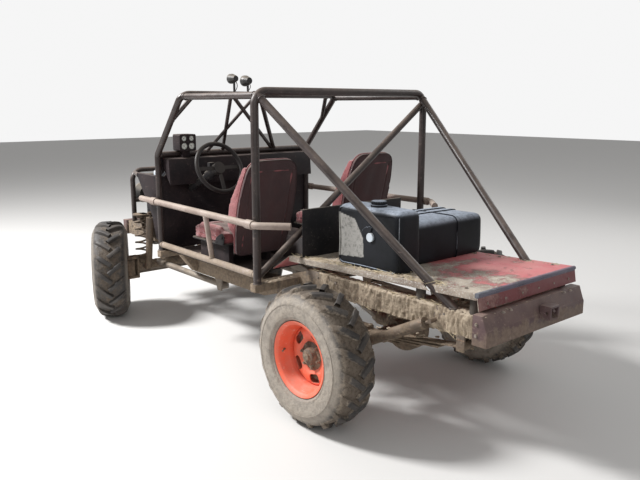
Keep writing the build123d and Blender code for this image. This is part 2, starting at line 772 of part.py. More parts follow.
shock_y = 470
shock_absorbers = []
for lower, upper in [
    ((rear_axle_x - 46, 470, axle_z + 6), (rear_axle_x - 560, 440, rail_rear_z + 40)),
    ((front_axle_x - 100, shock_y, axle_z + 6), (front_axle_x - 130, shock_y - 20, rail_front_z + 240)),
]:
    damper = shock(lower, upper)
    top_pin = rod((upper[0], rail_outer_y, upper[2]), (upper[0], upper[1] + 22, upper[2]), 12)
    damper += top_pin + rod((lower[0], lower[1] - 24, lower[2]), (lower[0], lower[1] + 24, lower[2]), 16)
    if upper[0] > 0:
        damper += block(upper[0] - 24, upper[0] + 24, rail_outer_y, rail_outer_y + 8, rail_front_z + 30,
                        upper[2] + 24)
        damper += block(lower[0] - 14, front_axle_x - 20, lower[1] - 12, lower[1] + 12, axle_z - 16,
                        axle_z + 16)
        damper -= front_axle
    else:
        damper += block(lower[0] - 14, rear_axle_x - 20, lower[1] - 12, lower[1] + 12, axle_z - 20,
                        axle_z + 20)
        damper -= rear_axle
    shock_absorbers += both_sides(damper)

# Radiator and the guard in front of it
radiator_x = front_axle_x + 175
radiator_half = 300
radiator_low = axle_z + 350
radiator_high = axle_z + 742


def radiator_shape():
    core = block(radiator_x, radiator_x + 48, -radiator_half, radiator_half, radiator_low + 50,
                 radiator_high - 50)
    tanks = block(radiator_x - 12, radiator_x + 60, -radiator_half, radiator_half, radiator_high - 50,
                  radiator_high)
    tanks += block(radiator_x - 12, radiator_x + 60, -radiator_half, radiator_half, radiator_low,
                   radiator_low + 50)
    tanks = fillet(tanks.edges().filter_by(Axis.Y), 14)
    neck = rod((radiator_x + 24, 120, radiator_high), (radiator_x + 24, 120, radiator_high + 26), 28)
    hose = tube([(radiator_x, -180, radiator_high - 26), (radiator_x - 70, -180, radiator_high - 26),
                 (engine_rear_x + engine_length - 60, -40, radiator_high - 40)], 40, 30)
    feet = block(radiator_x, radiator_x + 48, -rail_outer_y + 6, rail_outer_y - 6,
                 rail_front_z + rail_height, radiator_low)
    return core + tanks + neck + hose - engine + feet


radiator = radiator_shape()

guard_x = front_axle_x + 310
guard_half = brace_foot_y
guard_top = axle_z + 768


def guard_shape():
    foot = rail_front_z + rail_height
    guard = tube([(guard_x, -guard_half, foot), (guard_x, -guard_half, guard_top),
                  (guard_x, guard_half, guard_top), (guard_x, guard_half, foot)], bar_tube, 90)
    guard += rod((guard_x, -guard_half, foot + 180), (guard_x, guard_half, foot + 180), light_tube / 2)
    for side in (-1, 1):
        start = (guard_x, side * (guard_half - 26), guard_top - 26)
        end = (post_x + 380, side * (post_half - bar_tube / 2 - 12), axle_z + 794)
        guard += rod(start, end, light_tube / 2)
    for y in (-150, 0, 150):
        guard += rod((guard_x, y, foot + 180), (guard_x, y, guard_top), 9)
    return guard


front_guard = guard_shape() - cowl - radiator

# Lamps: two on the header and two headlamps on the guard
lamp_places = [(264, header_z + 108, 34), (150, header_z + 96, 38)]


def work_lamp(x, y, z, r, facing):
    bowl = Plane(origin=(x, y, z), z_dir=(facing, 0, 0)) * Cone(r * 0.6, r, 44,
                                                                align=(Align.CENTER, Align.CENTER,
                                                                       Align.MIN))
    face = Plane(origin=(x + facing * 44, y, z), z_dir=(facing, 0, 0)) * Cylinder(
        r, 22, align=(Align.CENTER, Align.CENTER, Align.MIN))
    return bowl + face


lamps = []
for y, z, r in lamp_places:
    stalk = rod((header_x, y, header_z + bar_tube / 2 - 4), (header_x, y, z - r * 0.4), 8)
    lamps.append(work_lamp(header_x - 24, y, z, r, 1) + stalk - windshield_frame)
for side in (-1, 1):
    head = work_lamp(guard_x + 28, side * 250, axle_z + 560, 88, 1)
    head += block(guard_x, guard_x + 34, side * 250 - 12, side * 250 + 12, axle_z + 500, axle_z + 520 + 40)
    head += block(guard_x - 10, guard_x + 34, side * 250 - 40, side * 250 + 40, axle_z + 496, axle_z + 524)
    lamps.append(head - front_guard - radiator)

# Coolant bottle beside the firewall
bottle_base = axle_z + 660
bottle_y = post_half - 98
coolant_bottle = block(post_x + 64, post_x + 190, bottle_y - 47, bottle_y + 46, bottle_base,
                       bottle_base + 186)
coolant_bottle = fillet(coolant_bottle.edges().filter_by(Axis.Z), 20)
coolant_bottle = fillet(coolant_bottle.edges().group_by(Axis.Z)[-1], 16)
coolant_bottle += rod((post_x + 127, bottle_y, bottle_base + 186),
                      (post_x + 127, bottle_y, bottle_base + 204), 22)
coolant_bottle += block(post_x + sheet, post_x + 66, bottle_y - 22, bottle_y + 43, bottle_base + 40,
                        bottle_base + 60)

# Exhaust: a pipe from each bank that runs back under the floor
exhaust_pipes = []
for side in (-1, 1):
    y = side * 262
    head_z = crank_z + 60
    low_z = rail_low_z + 40
    pipe = tube([
        (engine_rear_x + 420, side * 250, head_z + 20), (engine_rear_x + 60, side * 262, head_z),
        (engine_rear_x - 60, side * 262, low_z), (rear_axle_x + 1300, side * 262, low_z),
    ], 50, 60)
    muffler = rod((rear_axle_x + 1300, y, low_z), (rear_axle_x + 960, y, low_z), 64)
    exhaust_pipes.append(pipe + muffler - engine - gearbox)

# Steering column, from the firewall to the wheel
wheel_rim = 190
rim_wire = 15
column_lean = 24
shaft_radius = 12
wheel_hub = (post_x - 390, seat_y - 25, axle_z + 892)
lean = (cos(radians(column_lean)), 0, -sin(radians(column_lean)))


def along_column(distance):
    return tuple(wheel_hub[i] + lean[i] * distance for i in range(3))


def column_shape():
    reach = (post_x - wheel_hub[0]) / cos(radians(column_lean))
    column = rod(along_column(54), along_column(reach + 20), 26)
    column += rod(along_column(52), along_column(160), 36)
    drop = along_column(120)
    column += block(drop[0] - 16, drop[0] + 16, drop[1] - 20, drop[1] + 20, drop[2] + 20,
                    knee_z - bar_tube / 2 - 30)
    box_x = front_axle_x + box_ahead
    column += rod(along_column(reach + 10), (box_x - 60, box_y, rail_front_z + 56), 11)
    column += block(box_x - 70, box_x + 60, box_y - 40, rail_outer_y - rail_wall, rail_front_z + 14,
                    rail_front_z + 98)
    sector = pitman_z + pitman_plate + 6
    column += rod((box_x, box_y, sector), (box_x, box_y, rail_front_z + 20), 24)
    column -= rod((box_x, box_y, sector - 1), (box_x, box_y, sector + 40), kingpin_radius + pin_play)
    return column - rod(along_column(40), along_column(134), shaft_radius + pin_play)


box_ahead = 60
box_y = 318
pitman_z = rail_front_z - 52
pitman_plate = 16
cowl -= rod(along_column(200), along_column(600), 27)
steering_column = column_shape() - dashboard - cowl - windshield_frame - rail_left - engine


def steering_wheel_shape():
    flat = Torus(wheel_rim - rim_wire, rim_wire)
    for turn in (0, 90, 180):
        flat += Rot(0, 0, turn) * Pos(wheel_rim / 2 - 8, 0, -8) * Box(wheel_rim - 24, 26, 8)
    flat += Pos(0, 0, -20) * Cylinder(42, 50)
    flat += Pos(0, 0, -85) * Cylinder(shaft_radius, 90)
    return Plane(origin=wheel_hub, x_dir=(0, 0, 1), z_dir=tuple(-v for v in lean)) * Rot(0, 0, 90) * flat


steering_wheel = steering_wheel_shape()


# Rear bumper: a bent channel across the rail ends, with a hitch socket
def rear_bumper_shape():
    back = rear_axle_x - bumper_rear_face
    top = rail_rear_z + rail_height + 16
    front = rear_axle_x - rear_overhang
    outer = [(front, top), (back + 30, top), (back + 6, top - 66), (back, top - 78),
             (back, top - bumper_height),
             (front, top - bumper_height)]
    beam = side_plate(outer, -deck_half - 4, deck_half + 4)
    inner = [(front - 6, top - 6), (back + 35, top - 6), (back + 12, top - 66), (back + 6, top - 80),
             (back + 6, top - bumper_height - 10), (front - 6, top - bumper_height - 10)]
    beam -= side_plate(inner, -deck_half + 8, deck_half - 8)
    socket = block(back - hitch_reach, back + 4, hitch_y - 40, hitch_y + 40, top - 94, top - 22)
    socket -= block(back - 70, back - 2, hitch_y - 30, hitch_y + 30, top - 84, top - 32)
    socket -= rod((back - 34, hitch_y - 60, top - 58), (back - 34, hitch_y + 60, top - 58), hitch_pin)
    return beam + socket


hitch_pin = 8.2
rear_bumper = rear_bumper_shape()


def front_bumper_shape():
    face = rear_axle_x + wheelbase + front_overhang
    low = rail_front_z - 4
    outer = [(face, low), (face + 74, low), (face + 74, low + 120), (face, low + 120)]
    beam = side_plate(outer, -front_bumper_half, front_bumper_half)
    beam = fillet(beam.edges().filter_by(Axis.Z), 20)
    beam -= block(face - 1, face + 68, -front_bumper_half + 30, front_bumper_half - 30, low + 6, low + 114)
    for side in (-1, 1):
        y = side * tow_y
        ear = block(face + 60, face + tow_ear, y - 9, y + 9, low + 20, low + 100)
        ear -= rod((face + 104, y - 20, low + 60), (face + 104, y + 20, low + 60), tow_hole)
        beam += ear
    return beam


tow_y = 379
tow_hole = 12.5
front_bumper = front_bumper_shape()


# What turns with the front wheels is modelled straight ahead, then turned
def steered(shape, pivot_x, pivot_y):
    return Pos(pivot_x, pivot_y, 0) * Rot(0, 0, parked_steer) * Pos(-pivot_x, -pivot_y, 0) * shape


spindle_radius = 20
plate_y = kingpin_y + 52
arm_z = axle_z - arm_drop
stud_radius = 9
eye_radius = 22
rod_z = arm_z - ball_gap - 18


def knuckle_shape():
    x, y = front_axle_x, kingpin_y
    half = knuckle_height / 2
    body = rod((x, y, axle_z - half), (x, y, axle_z + half), knuckle_radius)
    reach = half + yoke_gap + yoke_plate
    body += rod((x, y, axle_z - reach), (x, y, axle_z + reach), kingpin_radius)
    body += rod((x, y, axle_z), (x, plate_y, axle_z), 38)
    body += rod((x, plate_y, axle_z), (x, plate_y + 8, axle_z), drum_radius - 8)
    body += rod((x, y, axle_z), (x, wheel_y + hub_length / 2, axle_z), spindle_radius)
    arm = block(x, x + steering_arm, y - 16, y + 16, arm_z, arm_z + arm_plate)
    arm += rod((x + steering_arm, y, arm_z), (x + steering_arm, y, arm_z + arm_plate), eye_radius)
    body += arm
    return body - rod((x + steering_arm, y, arm_z - 20), (x + steering_arm, y, arm_z + 40),
                      stud_radius + pin_play)


knuckle_plain = knuckle_shape()
knuckle_left = steered(knuckle_plain, front_axle_x, kingpin_y)
knuckle_right = steered(mirror(knuckle_plain, about=Plane.XZ), front_axle_x, -kingpin_y)

# Tie rod and drag link: they swing together on arms of one length
swing_x = steering_arm * cos(radians(parked_steer))
swing_y = steering_arm * sin(radians(parked_steer))
open_play = 2


def stud(x, y, low, high):
    return rod((x, y, low), (x, y, high), stud_radius)


def tie_rod_shape():
    x = front_axle_x + swing_x
    ends = [kingpin_y + swing_y, -kingpin_y + swing_y]
    bar = rod((x, ends[0] - 10, rod_z), (x, ends[1] + 10, rod_z), tie_rod_radius)
    for y in ends:
        bar += rod((x, y, rod_z - 16), (x, y, rod_z + 16), eye_radius)
        bar += stud(x, y, rod_z, arm_z + arm_plate + 4)
    link_y = ends[1] + 170
    pitman_x = front_axle_x + box_ahead + swing_x
    pitman_y = box_y + swing_y
    link_z = pitman_z - ball_gap - 18
    bar += rod((x, link_y, rod_z - 18), (x, link_y, rod_z + 22), 24)
    bar += rod((x, link_y, rod_z + 8), (pitman_x, pitman_y, link_z), tie_rod_radius)
    bar += rod((pitman_x, pitman_y, link_z - 16), (pitman_x, pitman_y, link_z + 16), eye_radius)
    return bar + stud(pitman_x, pitman_y, link_z, pitman_z + pitman_plate + 4)


tie_rod = tie_rod_shape()


def pitman_shape():
    x, y = front_axle_x + box_ahead, box_y
    arm = block(x, x + steering_arm, y - 16, y + 16, pitman_z, pitman_z + pitman_plate)
    arm += rod((x, y, pitman_z), (x, y, pitman_z + pitman_plate), 28)
    arm += rod((x, y, pitman_z), (x, y, pitman_z + pitman_plate + 42), kingpin_radius)
    arm += rod((x + steering_arm, y, pitman_z), (x + steering_arm, y, pitman_z + pitman_plate), eye_radius)
    return arm - rod((x + steering_arm, y, pitman_z - 10), (x + steering_arm, y, pitman_z + 40),
                     stud_radius + open_play)


pitman_arm = steered(pitman_shape(), front_axle_x + box_ahead, box_y)
open_eye = rod((front_axle_x + swing_x, -kingpin_y + swing_y, arm_z - 20),
               (front_axle_x + swing_x, -kingpin_y + swing_y, arm_z + 40), stud_radius + open_play)
knuckle_right = knuckle_right - open_eye


# Wheels, modelled about the Y axis with the outer face towards +Y
def about_axle(outline):
    # turns an outline of (y, r) points round the Y axis
    face = make_face(Polyline(*[(r, y) for y, r in outline], close=True))
    return revolve(face, Axis.Y)


def rim_shape():
    h = rim_width / 2
    lip, bead, well, t = rim_lip_radius, bead_radius, rim_well_radius, rim_wall
    outer = [(-h, lip), (-h + t, lip), (-h + 12, bead), (-h + 40, bead - 3), (-46, well), (34, well),
             (h - 40, bead - 3), (h - 12, bead), (h - t, lip), (h, lip)]
    inner = [(h, lip - t), (h - 14, bead - t), (h - 42, bead - t - 3), (36, well - t),
             (-48, well - t), (-h + 42, bead - t - 3), (-h + 14, bead - t), (-h, lip - t)]
    rim = about_axle(outer + inner)
    y = disc_offset
    disc = [(y - 12, well - 2), (y - 12 + disc_wall, well - 2), (y + 10 + disc_wall, well - 28),
            (y + 14 + disc_wall, 96), (y + disc_wall, 84), (y + disc_wall, hub_radius - 4),
            (y, hub_radius - 4), (y, 84), (y + 14, 96), (y + 10, well - 28)]
    rim += about_axle(disc)
    window = Box(window_wide, 80, window_long)
    window = fillet(window.edges().filter_by(Axis.Y), 16)
    for turn in range(window_count):
        rim -= Rot(0, (turn + 0.45) * 360 / window_count, 0) * Pos(window_circle, y + 10, 0) * window
    return rim


def hub_shape():
    bore = spindle_radius + pin_play
    h = hub_length / 2
    hub = about_axle([(-h - 8, bore), (-h - 8, 40), (disc_offset - 8, 40), (disc_offset - 8, 78),
                      (disc_offset, 78),
                      (disc_offset, hub_radius - 5), (h + 10, hub_radius - 8), (h + 14, 30),
                      (h + 14, bore)])
    drum_y = disc_offset - 8
    drum = about_axle([(drum_y - drum_width, drum_radius - 6), (drum_y - drum_width, drum_radius),
                       (drum_y - 4, drum_radius), (drum_y, drum_radius - 8), (drum_y, 76),
                       (drum_y - 6, 76), (drum_y - 6, drum_radius - 8)])
    return hub + drum


def lug_shape():
    base = tyre_radius - lug_height
    outline = [(-6, base - 12), (-6, tyre_radius), (98, tyre_radius - 10),
               (tyre_width / 2, tyre_radius - 72)]
    lug = make_face(Polyline(*outline, close=True))
    bar = Plane.YZ.offset(-lug_width / 2) * extrude(lug, lug_width)
    return Pos(0, 12, 0) * Rot(0, 0, -lug_angle) * Pos(0, -6, 0) * bar


def flat_sided_ring(outline, sides):
    # a ring about the axle whose wall is made of flats
    reach = 1 / cos(radians(180 / sides))
    turns = [radians(place * 360 / sides) for place in range(sides)]
    rows = [[(r * reach * sin(turn), y, r * reach * cos(turn)) for y, r in outline] for turn in turns]
    flats = []
    for place in range(sides):
        here, there = rows[place - 1], rows[place]
        for k in range(len(outline)):
            flats.append(Face(Wire.make_polygon([here[k - 1], here[k], there[k], there[k - 1]])))
    return Solid(Shell(flats))


def tyre_shape():
    half = tyre_width / 2
    crown = tyre_radius - lug_height - 9
    # one half of the wall from the bead to the crown, outside then inside: y, radius
    outside = [(94, bead_radius), (half - 2, 256), (half - 2, 306), (half - 27, crown)]
    inside = [(98, 326), (82, bead_radius)]
    outer = [(-y, r) for y, r in outside] + outside[::-1]
    inner = inside[::-1] + [(-y, r) for y, r in inside]
    tyre = flat_sided_ring(outer + inner, lug_count)
    lug = lug_shape()
    lugs = []
    step = 360 / lug_count
    for place in range(lug_count):
        lugs.append(Rot(0, place * step, 0) * lug)
        lugs.append(Rot(0, (place + 0.5) * step, 0) * mirror(lug, about=Plane.XZ))
    return tyre.fuse(*lugs)


rim_plain = rim_shape() + hub_shape()
tyre_plain = tyre_shape()


def placed_wheel(shape, ahead, side):
    turned = shape if side > 0 else mirror(shape, about=Plane.XZ)
    wheel = Pos(ahead, side * wheel_y, axle_z) * turned
    return steered(wheel, ahead, side * kingpin_y) if ahead == front_axle_x else wheel


for side in (-1, 1):
    rear_axle += rod((rear_axle_x, side * (rear_flange_y - 10), axle_z),
                     (rear_axle_x, side * (wheel_y + hub_length / 2), axle_z), spindle_radius)

parts = {
    "frame_rails": frame_rails,
    "crossmembers": crossmembers,
    "outriggers": outriggers,
    "main_hoop": main_hoop,
    "cage_braces": cage_braces,
    "roof_rails": roof_rails,
    "windshield_frame": windshield_frame,
    "side_bars": side_bars,
    "floor_pan": floor_pan,
    "cowl": cowl,
    "dashboard": dashboard,
    "rear_deck": rear_deck,
    "body_mounts": body_mounts,
    "rear_bulkhead": rear_bulkhead,
    "fuel_tank": fuel_tank,
    "engine": engine,
    "gearbox": gearbox,
    "drive_shafts": drive_shafts,
    "rear_axle": rear_axle,
    "front_axle": front_axle,
    "leaf_springs": leaf_springs,
    "coil_springs": coil_springs,
    "radius_arms": radius_arms,
    "shock_absorbers": shock_absorbers,
    "radiator": radiator,
    "front_guard": front_guard,
    "lamps": lamps,
    "coolant_bottle": coolant_bottle,
    "exhaust_pipes": exhaust_pipes,
    "steering_column": steering_column,
    "steering_wheel": steering_wheel,
    "rear_bumper": rear_bumper,
    "front_bumper": front_bumper,
    "knuckle_left": knuckle_left,
    "knuckle_right": knuckle_right,
    "tie_rod": tie_rod,
    "pitman_arm": pitman_arm,
}
for name, side in [("left", 1), ("right", -1)]:
    parts["seat_" + name + "_back"] = Pos(0, side * seat_y, 0) * back_plain
    parts["seat_" + name + "_cushion"] = Pos(0, side * seat_y, 0) * cushion_plain
for name, ahead in [("front", front_axle_x), ("rear", rear_axle_x)]:
    for hand, side in [("left", 1), ("right", -1)]:
        parts["rim_" + name + "_" + hand] = placed_wheel(rim_plain, ahead, side)
        parts["tyre_" + name + "_" + hand] = placed_wheel(tyre_plain, ahead, side)

for name, shape in parts.items():
    if isinstance(shape, list):
        solids = [solid for piece in shape for solid in piece.solids()]
    else:
        solids = list(shape.solids())
    body = solids[0] if len(solids) == 1 else Compound(children=solids)
    export_step(body, "parts/" + name + ".step")
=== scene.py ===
import bpy
import json
import math
import random
from mathutils import Matrix, Vector, noise

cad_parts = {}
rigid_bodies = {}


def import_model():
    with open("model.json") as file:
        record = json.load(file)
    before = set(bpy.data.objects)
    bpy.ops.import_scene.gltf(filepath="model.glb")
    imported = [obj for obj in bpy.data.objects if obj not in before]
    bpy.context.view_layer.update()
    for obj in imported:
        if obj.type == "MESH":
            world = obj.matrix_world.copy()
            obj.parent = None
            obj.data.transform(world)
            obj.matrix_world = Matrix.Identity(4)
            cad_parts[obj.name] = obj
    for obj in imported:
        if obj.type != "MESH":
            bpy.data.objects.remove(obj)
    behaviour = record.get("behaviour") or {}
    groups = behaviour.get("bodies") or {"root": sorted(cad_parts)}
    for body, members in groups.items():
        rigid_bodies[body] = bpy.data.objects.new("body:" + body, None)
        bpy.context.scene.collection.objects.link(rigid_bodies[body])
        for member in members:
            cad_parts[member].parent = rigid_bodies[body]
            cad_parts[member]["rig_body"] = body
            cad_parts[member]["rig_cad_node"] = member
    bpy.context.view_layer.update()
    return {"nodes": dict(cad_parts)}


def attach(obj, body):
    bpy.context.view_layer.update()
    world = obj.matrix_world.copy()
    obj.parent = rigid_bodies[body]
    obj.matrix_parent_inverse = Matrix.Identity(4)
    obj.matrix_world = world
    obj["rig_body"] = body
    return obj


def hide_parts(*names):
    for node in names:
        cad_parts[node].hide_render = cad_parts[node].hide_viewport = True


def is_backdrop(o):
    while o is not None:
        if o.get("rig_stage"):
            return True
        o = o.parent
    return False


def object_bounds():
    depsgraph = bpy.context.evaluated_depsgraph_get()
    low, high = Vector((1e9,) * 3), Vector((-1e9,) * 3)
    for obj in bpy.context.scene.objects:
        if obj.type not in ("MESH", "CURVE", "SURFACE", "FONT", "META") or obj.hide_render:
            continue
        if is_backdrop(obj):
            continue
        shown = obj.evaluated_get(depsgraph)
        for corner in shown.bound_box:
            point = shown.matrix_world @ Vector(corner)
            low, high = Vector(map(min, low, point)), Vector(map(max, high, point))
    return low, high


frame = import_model()
nodes = frame["nodes"]
random.seed(27)

# places along the buggy of the cage's uprights, in metres
place = {"post": 0.7405, "header": 0.3705, "hoop": -0.5045}
upright = (0, 0, 1)
fullTurn = 2 * math.pi
mergeGap = 0.00002


# small helpers, for what is done by hand again and again
def clearSelection():
    if bpy.context.object and bpy.context.object.mode != "OBJECT":
        bpy.ops.object.mode_set(mode="OBJECT")
    bpy.ops.object.select_all(action="DESELECT")


def pick(piece):
    clearSelection()
    piece.select_set(True)
    bpy.context.view_layer.objects.active = piece
    return piece


def copyOf(source):
    pick(source)
    bpy.ops.object.duplicate()
    return bpy.context.object


def discard(*pieces):
    for piece in pieces:
        pick(piece)
        bpy.ops.object.delete()


def settle(piece, name, finish, body="chassis"):
    # the place goes into the mesh, and the object itself stays at the origin
    pick(piece)
    bpy.ops.object.transform_apply()
    piece.name = name
    piece.data.name = name
    piece.data.materials.clear()
    piece.data.materials.append(finishes[finish])
    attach(piece, body)
    return piece


def joinAll(pieces):
    pick(pieces[0])
    for piece in pieces[1:]:
        piece.select_set(True)
    bpy.ops.object.join()
    return bpy.context.object


def editAll(step, **settings):
    # one step in edit mode, on the whole mesh of the active object
    bpy.ops.object.mode_set(mode="EDIT")
    bpy.ops.mesh.select_all(action="SELECT")
    step(**settings)
    bpy.ops.object.mode_set(mode="OBJECT")


def editEdges(piece, chosen, step, **settings):
    # one step in edit mode, on the edges that a rule chooses
    pick(piece)
    bpy.ops.object.mode_set(mode="EDIT")
    bpy.ops.mesh.select_all(action="DESELECT")
    bpy.ops.object.mode_set(mode="OBJECT")
    for edge in piece.data.edges:
        edge.select = chosen(edge)
    bpy.ops.object.mode_set(mode="EDIT")
    step(**settings)
    bpy.ops.object.mode_set(mode="OBJECT")


def tidyMesh(piece, gap=mergeGap):
    pick(piece)
    bpy.ops.object.mode_set(mode="EDIT")
    bpy.ops.mesh.select_all(action="SELECT")
    bpy.ops.mesh.remove_doubles(threshold=gap)
    bpy.ops.mesh.normals_make_consistent(inside=False)
    bpy.ops.object.mode_set(mode="OBJECT")
    return piece


def smoothBy(piece, angle):
    pick(piece)
    bpy.ops.object.shade_smooth_by_angle(angle=math.radians(angle))
    return piece


def useModifier(piece, kind, **settings):
    pick(piece)
    step = piece.modifiers.new("step", kind)
    for key, value in settings.items():
        setattr(step, key, value)
    bpy.ops.object.modifier_apply(modifier=step.name)
    return piece


def bevelBy(piece, width, angle):
    # rounds only the edges that are sharper than an angle
    return useModifier(piece, "BEVEL", width=width, segments=2, limit_method="ANGLE",
                       angle_limit=math.radians(angle))


def clamp(value):
    return max(0.0, min(1.0, value))


def markPoints(piece, name, rule):
    # a value at every point of the mesh, for a finish to read
    mark = piece.data.attributes.new(name, "FLOAT", "POINT")
    for vertex in piece.data.vertices:
        mark.data[vertex.index].value = rule(*vertex.co)


def turnTo(direction):
    return Vector(direction).to_track_quat("Z", "Y").to_euler()


def bar(start, end, radius, sides=20, radius2=None):
    # a round bar or a cone between two points
    a, b = Vector(start), Vector(end)
    clearSelection()
    bpy.ops.mesh.primitive_cone_add(vertices=sides, radius1=radius,
                                    radius2=radius if radius2 is None else radius2, depth=(b - a).length,
                                    location=(a + b) / 2, rotation=turnTo(b - a))
    bpy.ops.object.transform_apply()
    return bpy.context.object


def slab(low, high, edge=0.0, steps=2):
    # a box between two corners, with softened edges
    a, b = Vector(low), Vector(high)
    clearSelection()
    bpy.ops.mesh.primitive_cube_add(size=1, location=(a + b) / 2)
    piece = bpy.context.object
    piece.scale = b - a
    bpy.ops.object.transform_apply()
    if edge:
        useModifier(piece, "BEVEL", width=edge, segments=steps)
    return piece


def ringAt(centre, facing, radius, wire, sides, wireSides):
    clearSelection()
    bpy.ops.mesh.primitive_torus_add(location=centre, rotation=turnTo(facing), major_radius=radius,
                                     minor_radius=wire, major_segments=sides, minor_segments=wireSides)
    bpy.ops.object.transform_apply()
    return bpy.context.object


def hose(points, radius, sides=10):
    # a bent tube along a smooth line through a few points
    clearSelection()
    bpy.ops.curve.primitive_nurbs_path_add()
    line = bpy.context.object
    line.data.splines.remove(line.data.splines[0])
    spline = line.data.splines.new("NURBS")
    spline.points.add(len(points) - 1)
    for knot, point in zip(spline.points, points):
        knot.co = (*point, 1)
    spline.order_u = 3
    spline.use_endpoint_u = True
    spline.resolution_u = 6
    line.data.bevel_depth = radius
    line.data.bevel_resolution = max(1, sides // 4)
    line.data.use_fill_caps = True
    line.data.dimensions = "3D"
    bpy.ops.object.convert(target="MESH")
    return bpy.context.object


def smoothLine(points, between):
    # more points on a soft curve through the given ones
    last = len(points) - 1
    made = []
    for i in range(last):
        near = [points[min(max(i + k, 0), last)] for k in (-1, 0, 1, 2)]
        for step in range(between):
            t = step / between
            made.append(tuple(
                0.5 * (2 * b + (c - a) * t + (2 * a - 5 * b + 4 * c - d) * t * t
                       + (3 * b - a - 3 * c + d) * t ** 3)
                for a, b, c, d in zip(*near)))
    made.append(tuple(points[-1]))
    return made


def loopOf(points, fill="NOTHING"):
    # a closed line from point to point, or the flat face inside it
    clearSelection()
    bpy.ops.mesh.primitive_circle_add(vertices=len(points), radius=0.1, fill_type=fill)
    piece = bpy.context.object
    for vertex, point in zip(piece.data.vertices, points):
        vertex.co = point
    return piece


def spinSection(points, steps, gap=0.00001):
    # a closed outline of (across, out) points, spun round the Y axis
    piece = loopOf([(out, across, 0) for across, out in points])
    editAll(bpy.ops.mesh.spin, steps=steps, angle=fullTurn, center=(0, 0, 0), axis=(0, 1, 0))
    return tidyMesh(piece, gap)


def extrudeOutline(points, thickness):
    # a flat closed outline, given in 3D, made thick along its own normal
    piece = loopOf(points, "NGON")
    piece.data.update()
    useModifier(piece, "SOLIDIFY", thickness=thickness, offset=0)
    return tidyMesh(piece)


def dressNode(node, finish, slot, edge=0, body="chassis"):
    # a merged copy of a frame piece, with soft shading and rounded edges
    piece = copyOf(nodes[node])
    piece.parent = None
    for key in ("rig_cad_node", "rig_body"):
        if key in piece:
            del piece[key]
    if piece.data.has_custom_normals:
        bpy.ops.mesh.customdata_custom_splitnormals_clear()
    bpy.ops.object.mode_set(mode="EDIT")
    bpy.ops.mesh.select_all(action="SELECT")
    bpy.ops.mesh.remove_doubles(threshold=mergeGap)
    if edge:
        bpy.ops.mesh.dissolve_limited(angle_limit=math.radians(1))
    bpy.ops.object.mode_set(mode="OBJECT")
    if edge:
        bevelBy(piece, edge, 35)
    smoothBy(piece, 35)
    settle(piece, node + "_dressed", finish, body)
    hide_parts(node)


print("helpers ready")


# steps that the shader trees share
def addNode(tree, kind, settings=None, **values):
    node = tree.nodes.new("ShaderNode" + kind)
    for key, value in (settings or {}).items():
        setattr(node, key, value)
    for key, value in values.items():
        node.inputs[key].default_value = value
    return node


def feed(tree, value, socket):
    # a number is written into the socket, and another socket is linked to it
    if isinstance(value, (int, float)):
        socket.default_value = value
    else:
        tree.links.new(value, socket)


def calc(tree, operation, *values):
    # one step of arithmetic, whose inputs are sockets or numbers
    node = addNode(tree, "Math", {"operation": operation})
    for index, value in enumerate(values):
        feed(tree, value, node.inputs[index])
    return node.outputs[0]


def plus(tree, a, b):
    return calc(tree, "ADD", a, b)


def times(tree, a, b):
    return calc(tree, "MULTIPLY", a, b)


def swing(tree, value, amount):
    # a noise turned into a push both ways
    return times(tree, calc(tree, "SUBTRACT", value, 0.5), amount)


def ramp(tree, value, low, high, toLow=0.0, toHigh=1.0):
    node = addNode(tree, "MapRange", {"interpolation_type": "SMOOTHSTEP"})
    for key, given in (("Value", value), ("From Min", low), ("From Max", high), ("To Min", toLow),
                       ("To Max", toHigh)):
        feed(tree, given, node.inputs[key])
    return node.outputs["Result"]


def blendColours(tree, amount, a, b):
    node = addNode(tree, "Mix", {"data_type": "RGBA"})
    for key, given in (("Factor", amount), ("A", a), ("B", b)):
        tree.links.new(given, node.inputs[key])
    return node.outputs["Result"]


def rgb(colour):
    return (*colour, 1)


def tone(tree, colour):
    node = tree.nodes.new("ShaderNodeRGB")
    node.outputs[0].default_value = rgb(colour)
    return node.outputs[0]


def readMark(tree, name):
    return addNode(tree, "Attribute", {"attribute_name": name}).outputs["Fac"]


def whereOn(tree):
    return tree.nodes.new("ShaderNodeTexCoord").outputs["Object"]


def facingOf(tree):
    return tree.nodes.new("ShaderNodeNewGeometry").outputs["Normal"]


def axesOf(tree, vector):
    split = tree.nodes.new("ShaderNodeSeparateXYZ")
    tree.links.new(vector, split.inputs["Vector"])
    return [split.outputs[axis] for axis in "XYZ"]


def cloudNoise(tree, size, detail, roughness, stretch=None):
    where = whereOn(tree)
    if stretch:
        turn = addNode(tree, "Mapping", Scale=stretch)
        tree.links.new(where, turn.inputs["Vector"])
        where = turn.outputs["Vector"]
    node = addNode(tree, "TexNoise", Detail=detail, Roughness=roughness)
    tree.links.new(where, node.inputs["Vector"])
    feed(tree, size, node.inputs["Scale"])
    return node.outputs["Fac"]


def linkRelief(tree, shader, relief, strength, distance):
    bump = addNode(tree, "Bump", Strength=strength, Distance=distance)
    tree.links.new(relief, bump.inputs["Height"])
    tree.links.new(bump.outputs["Normal"], shader.inputs["Normal"])


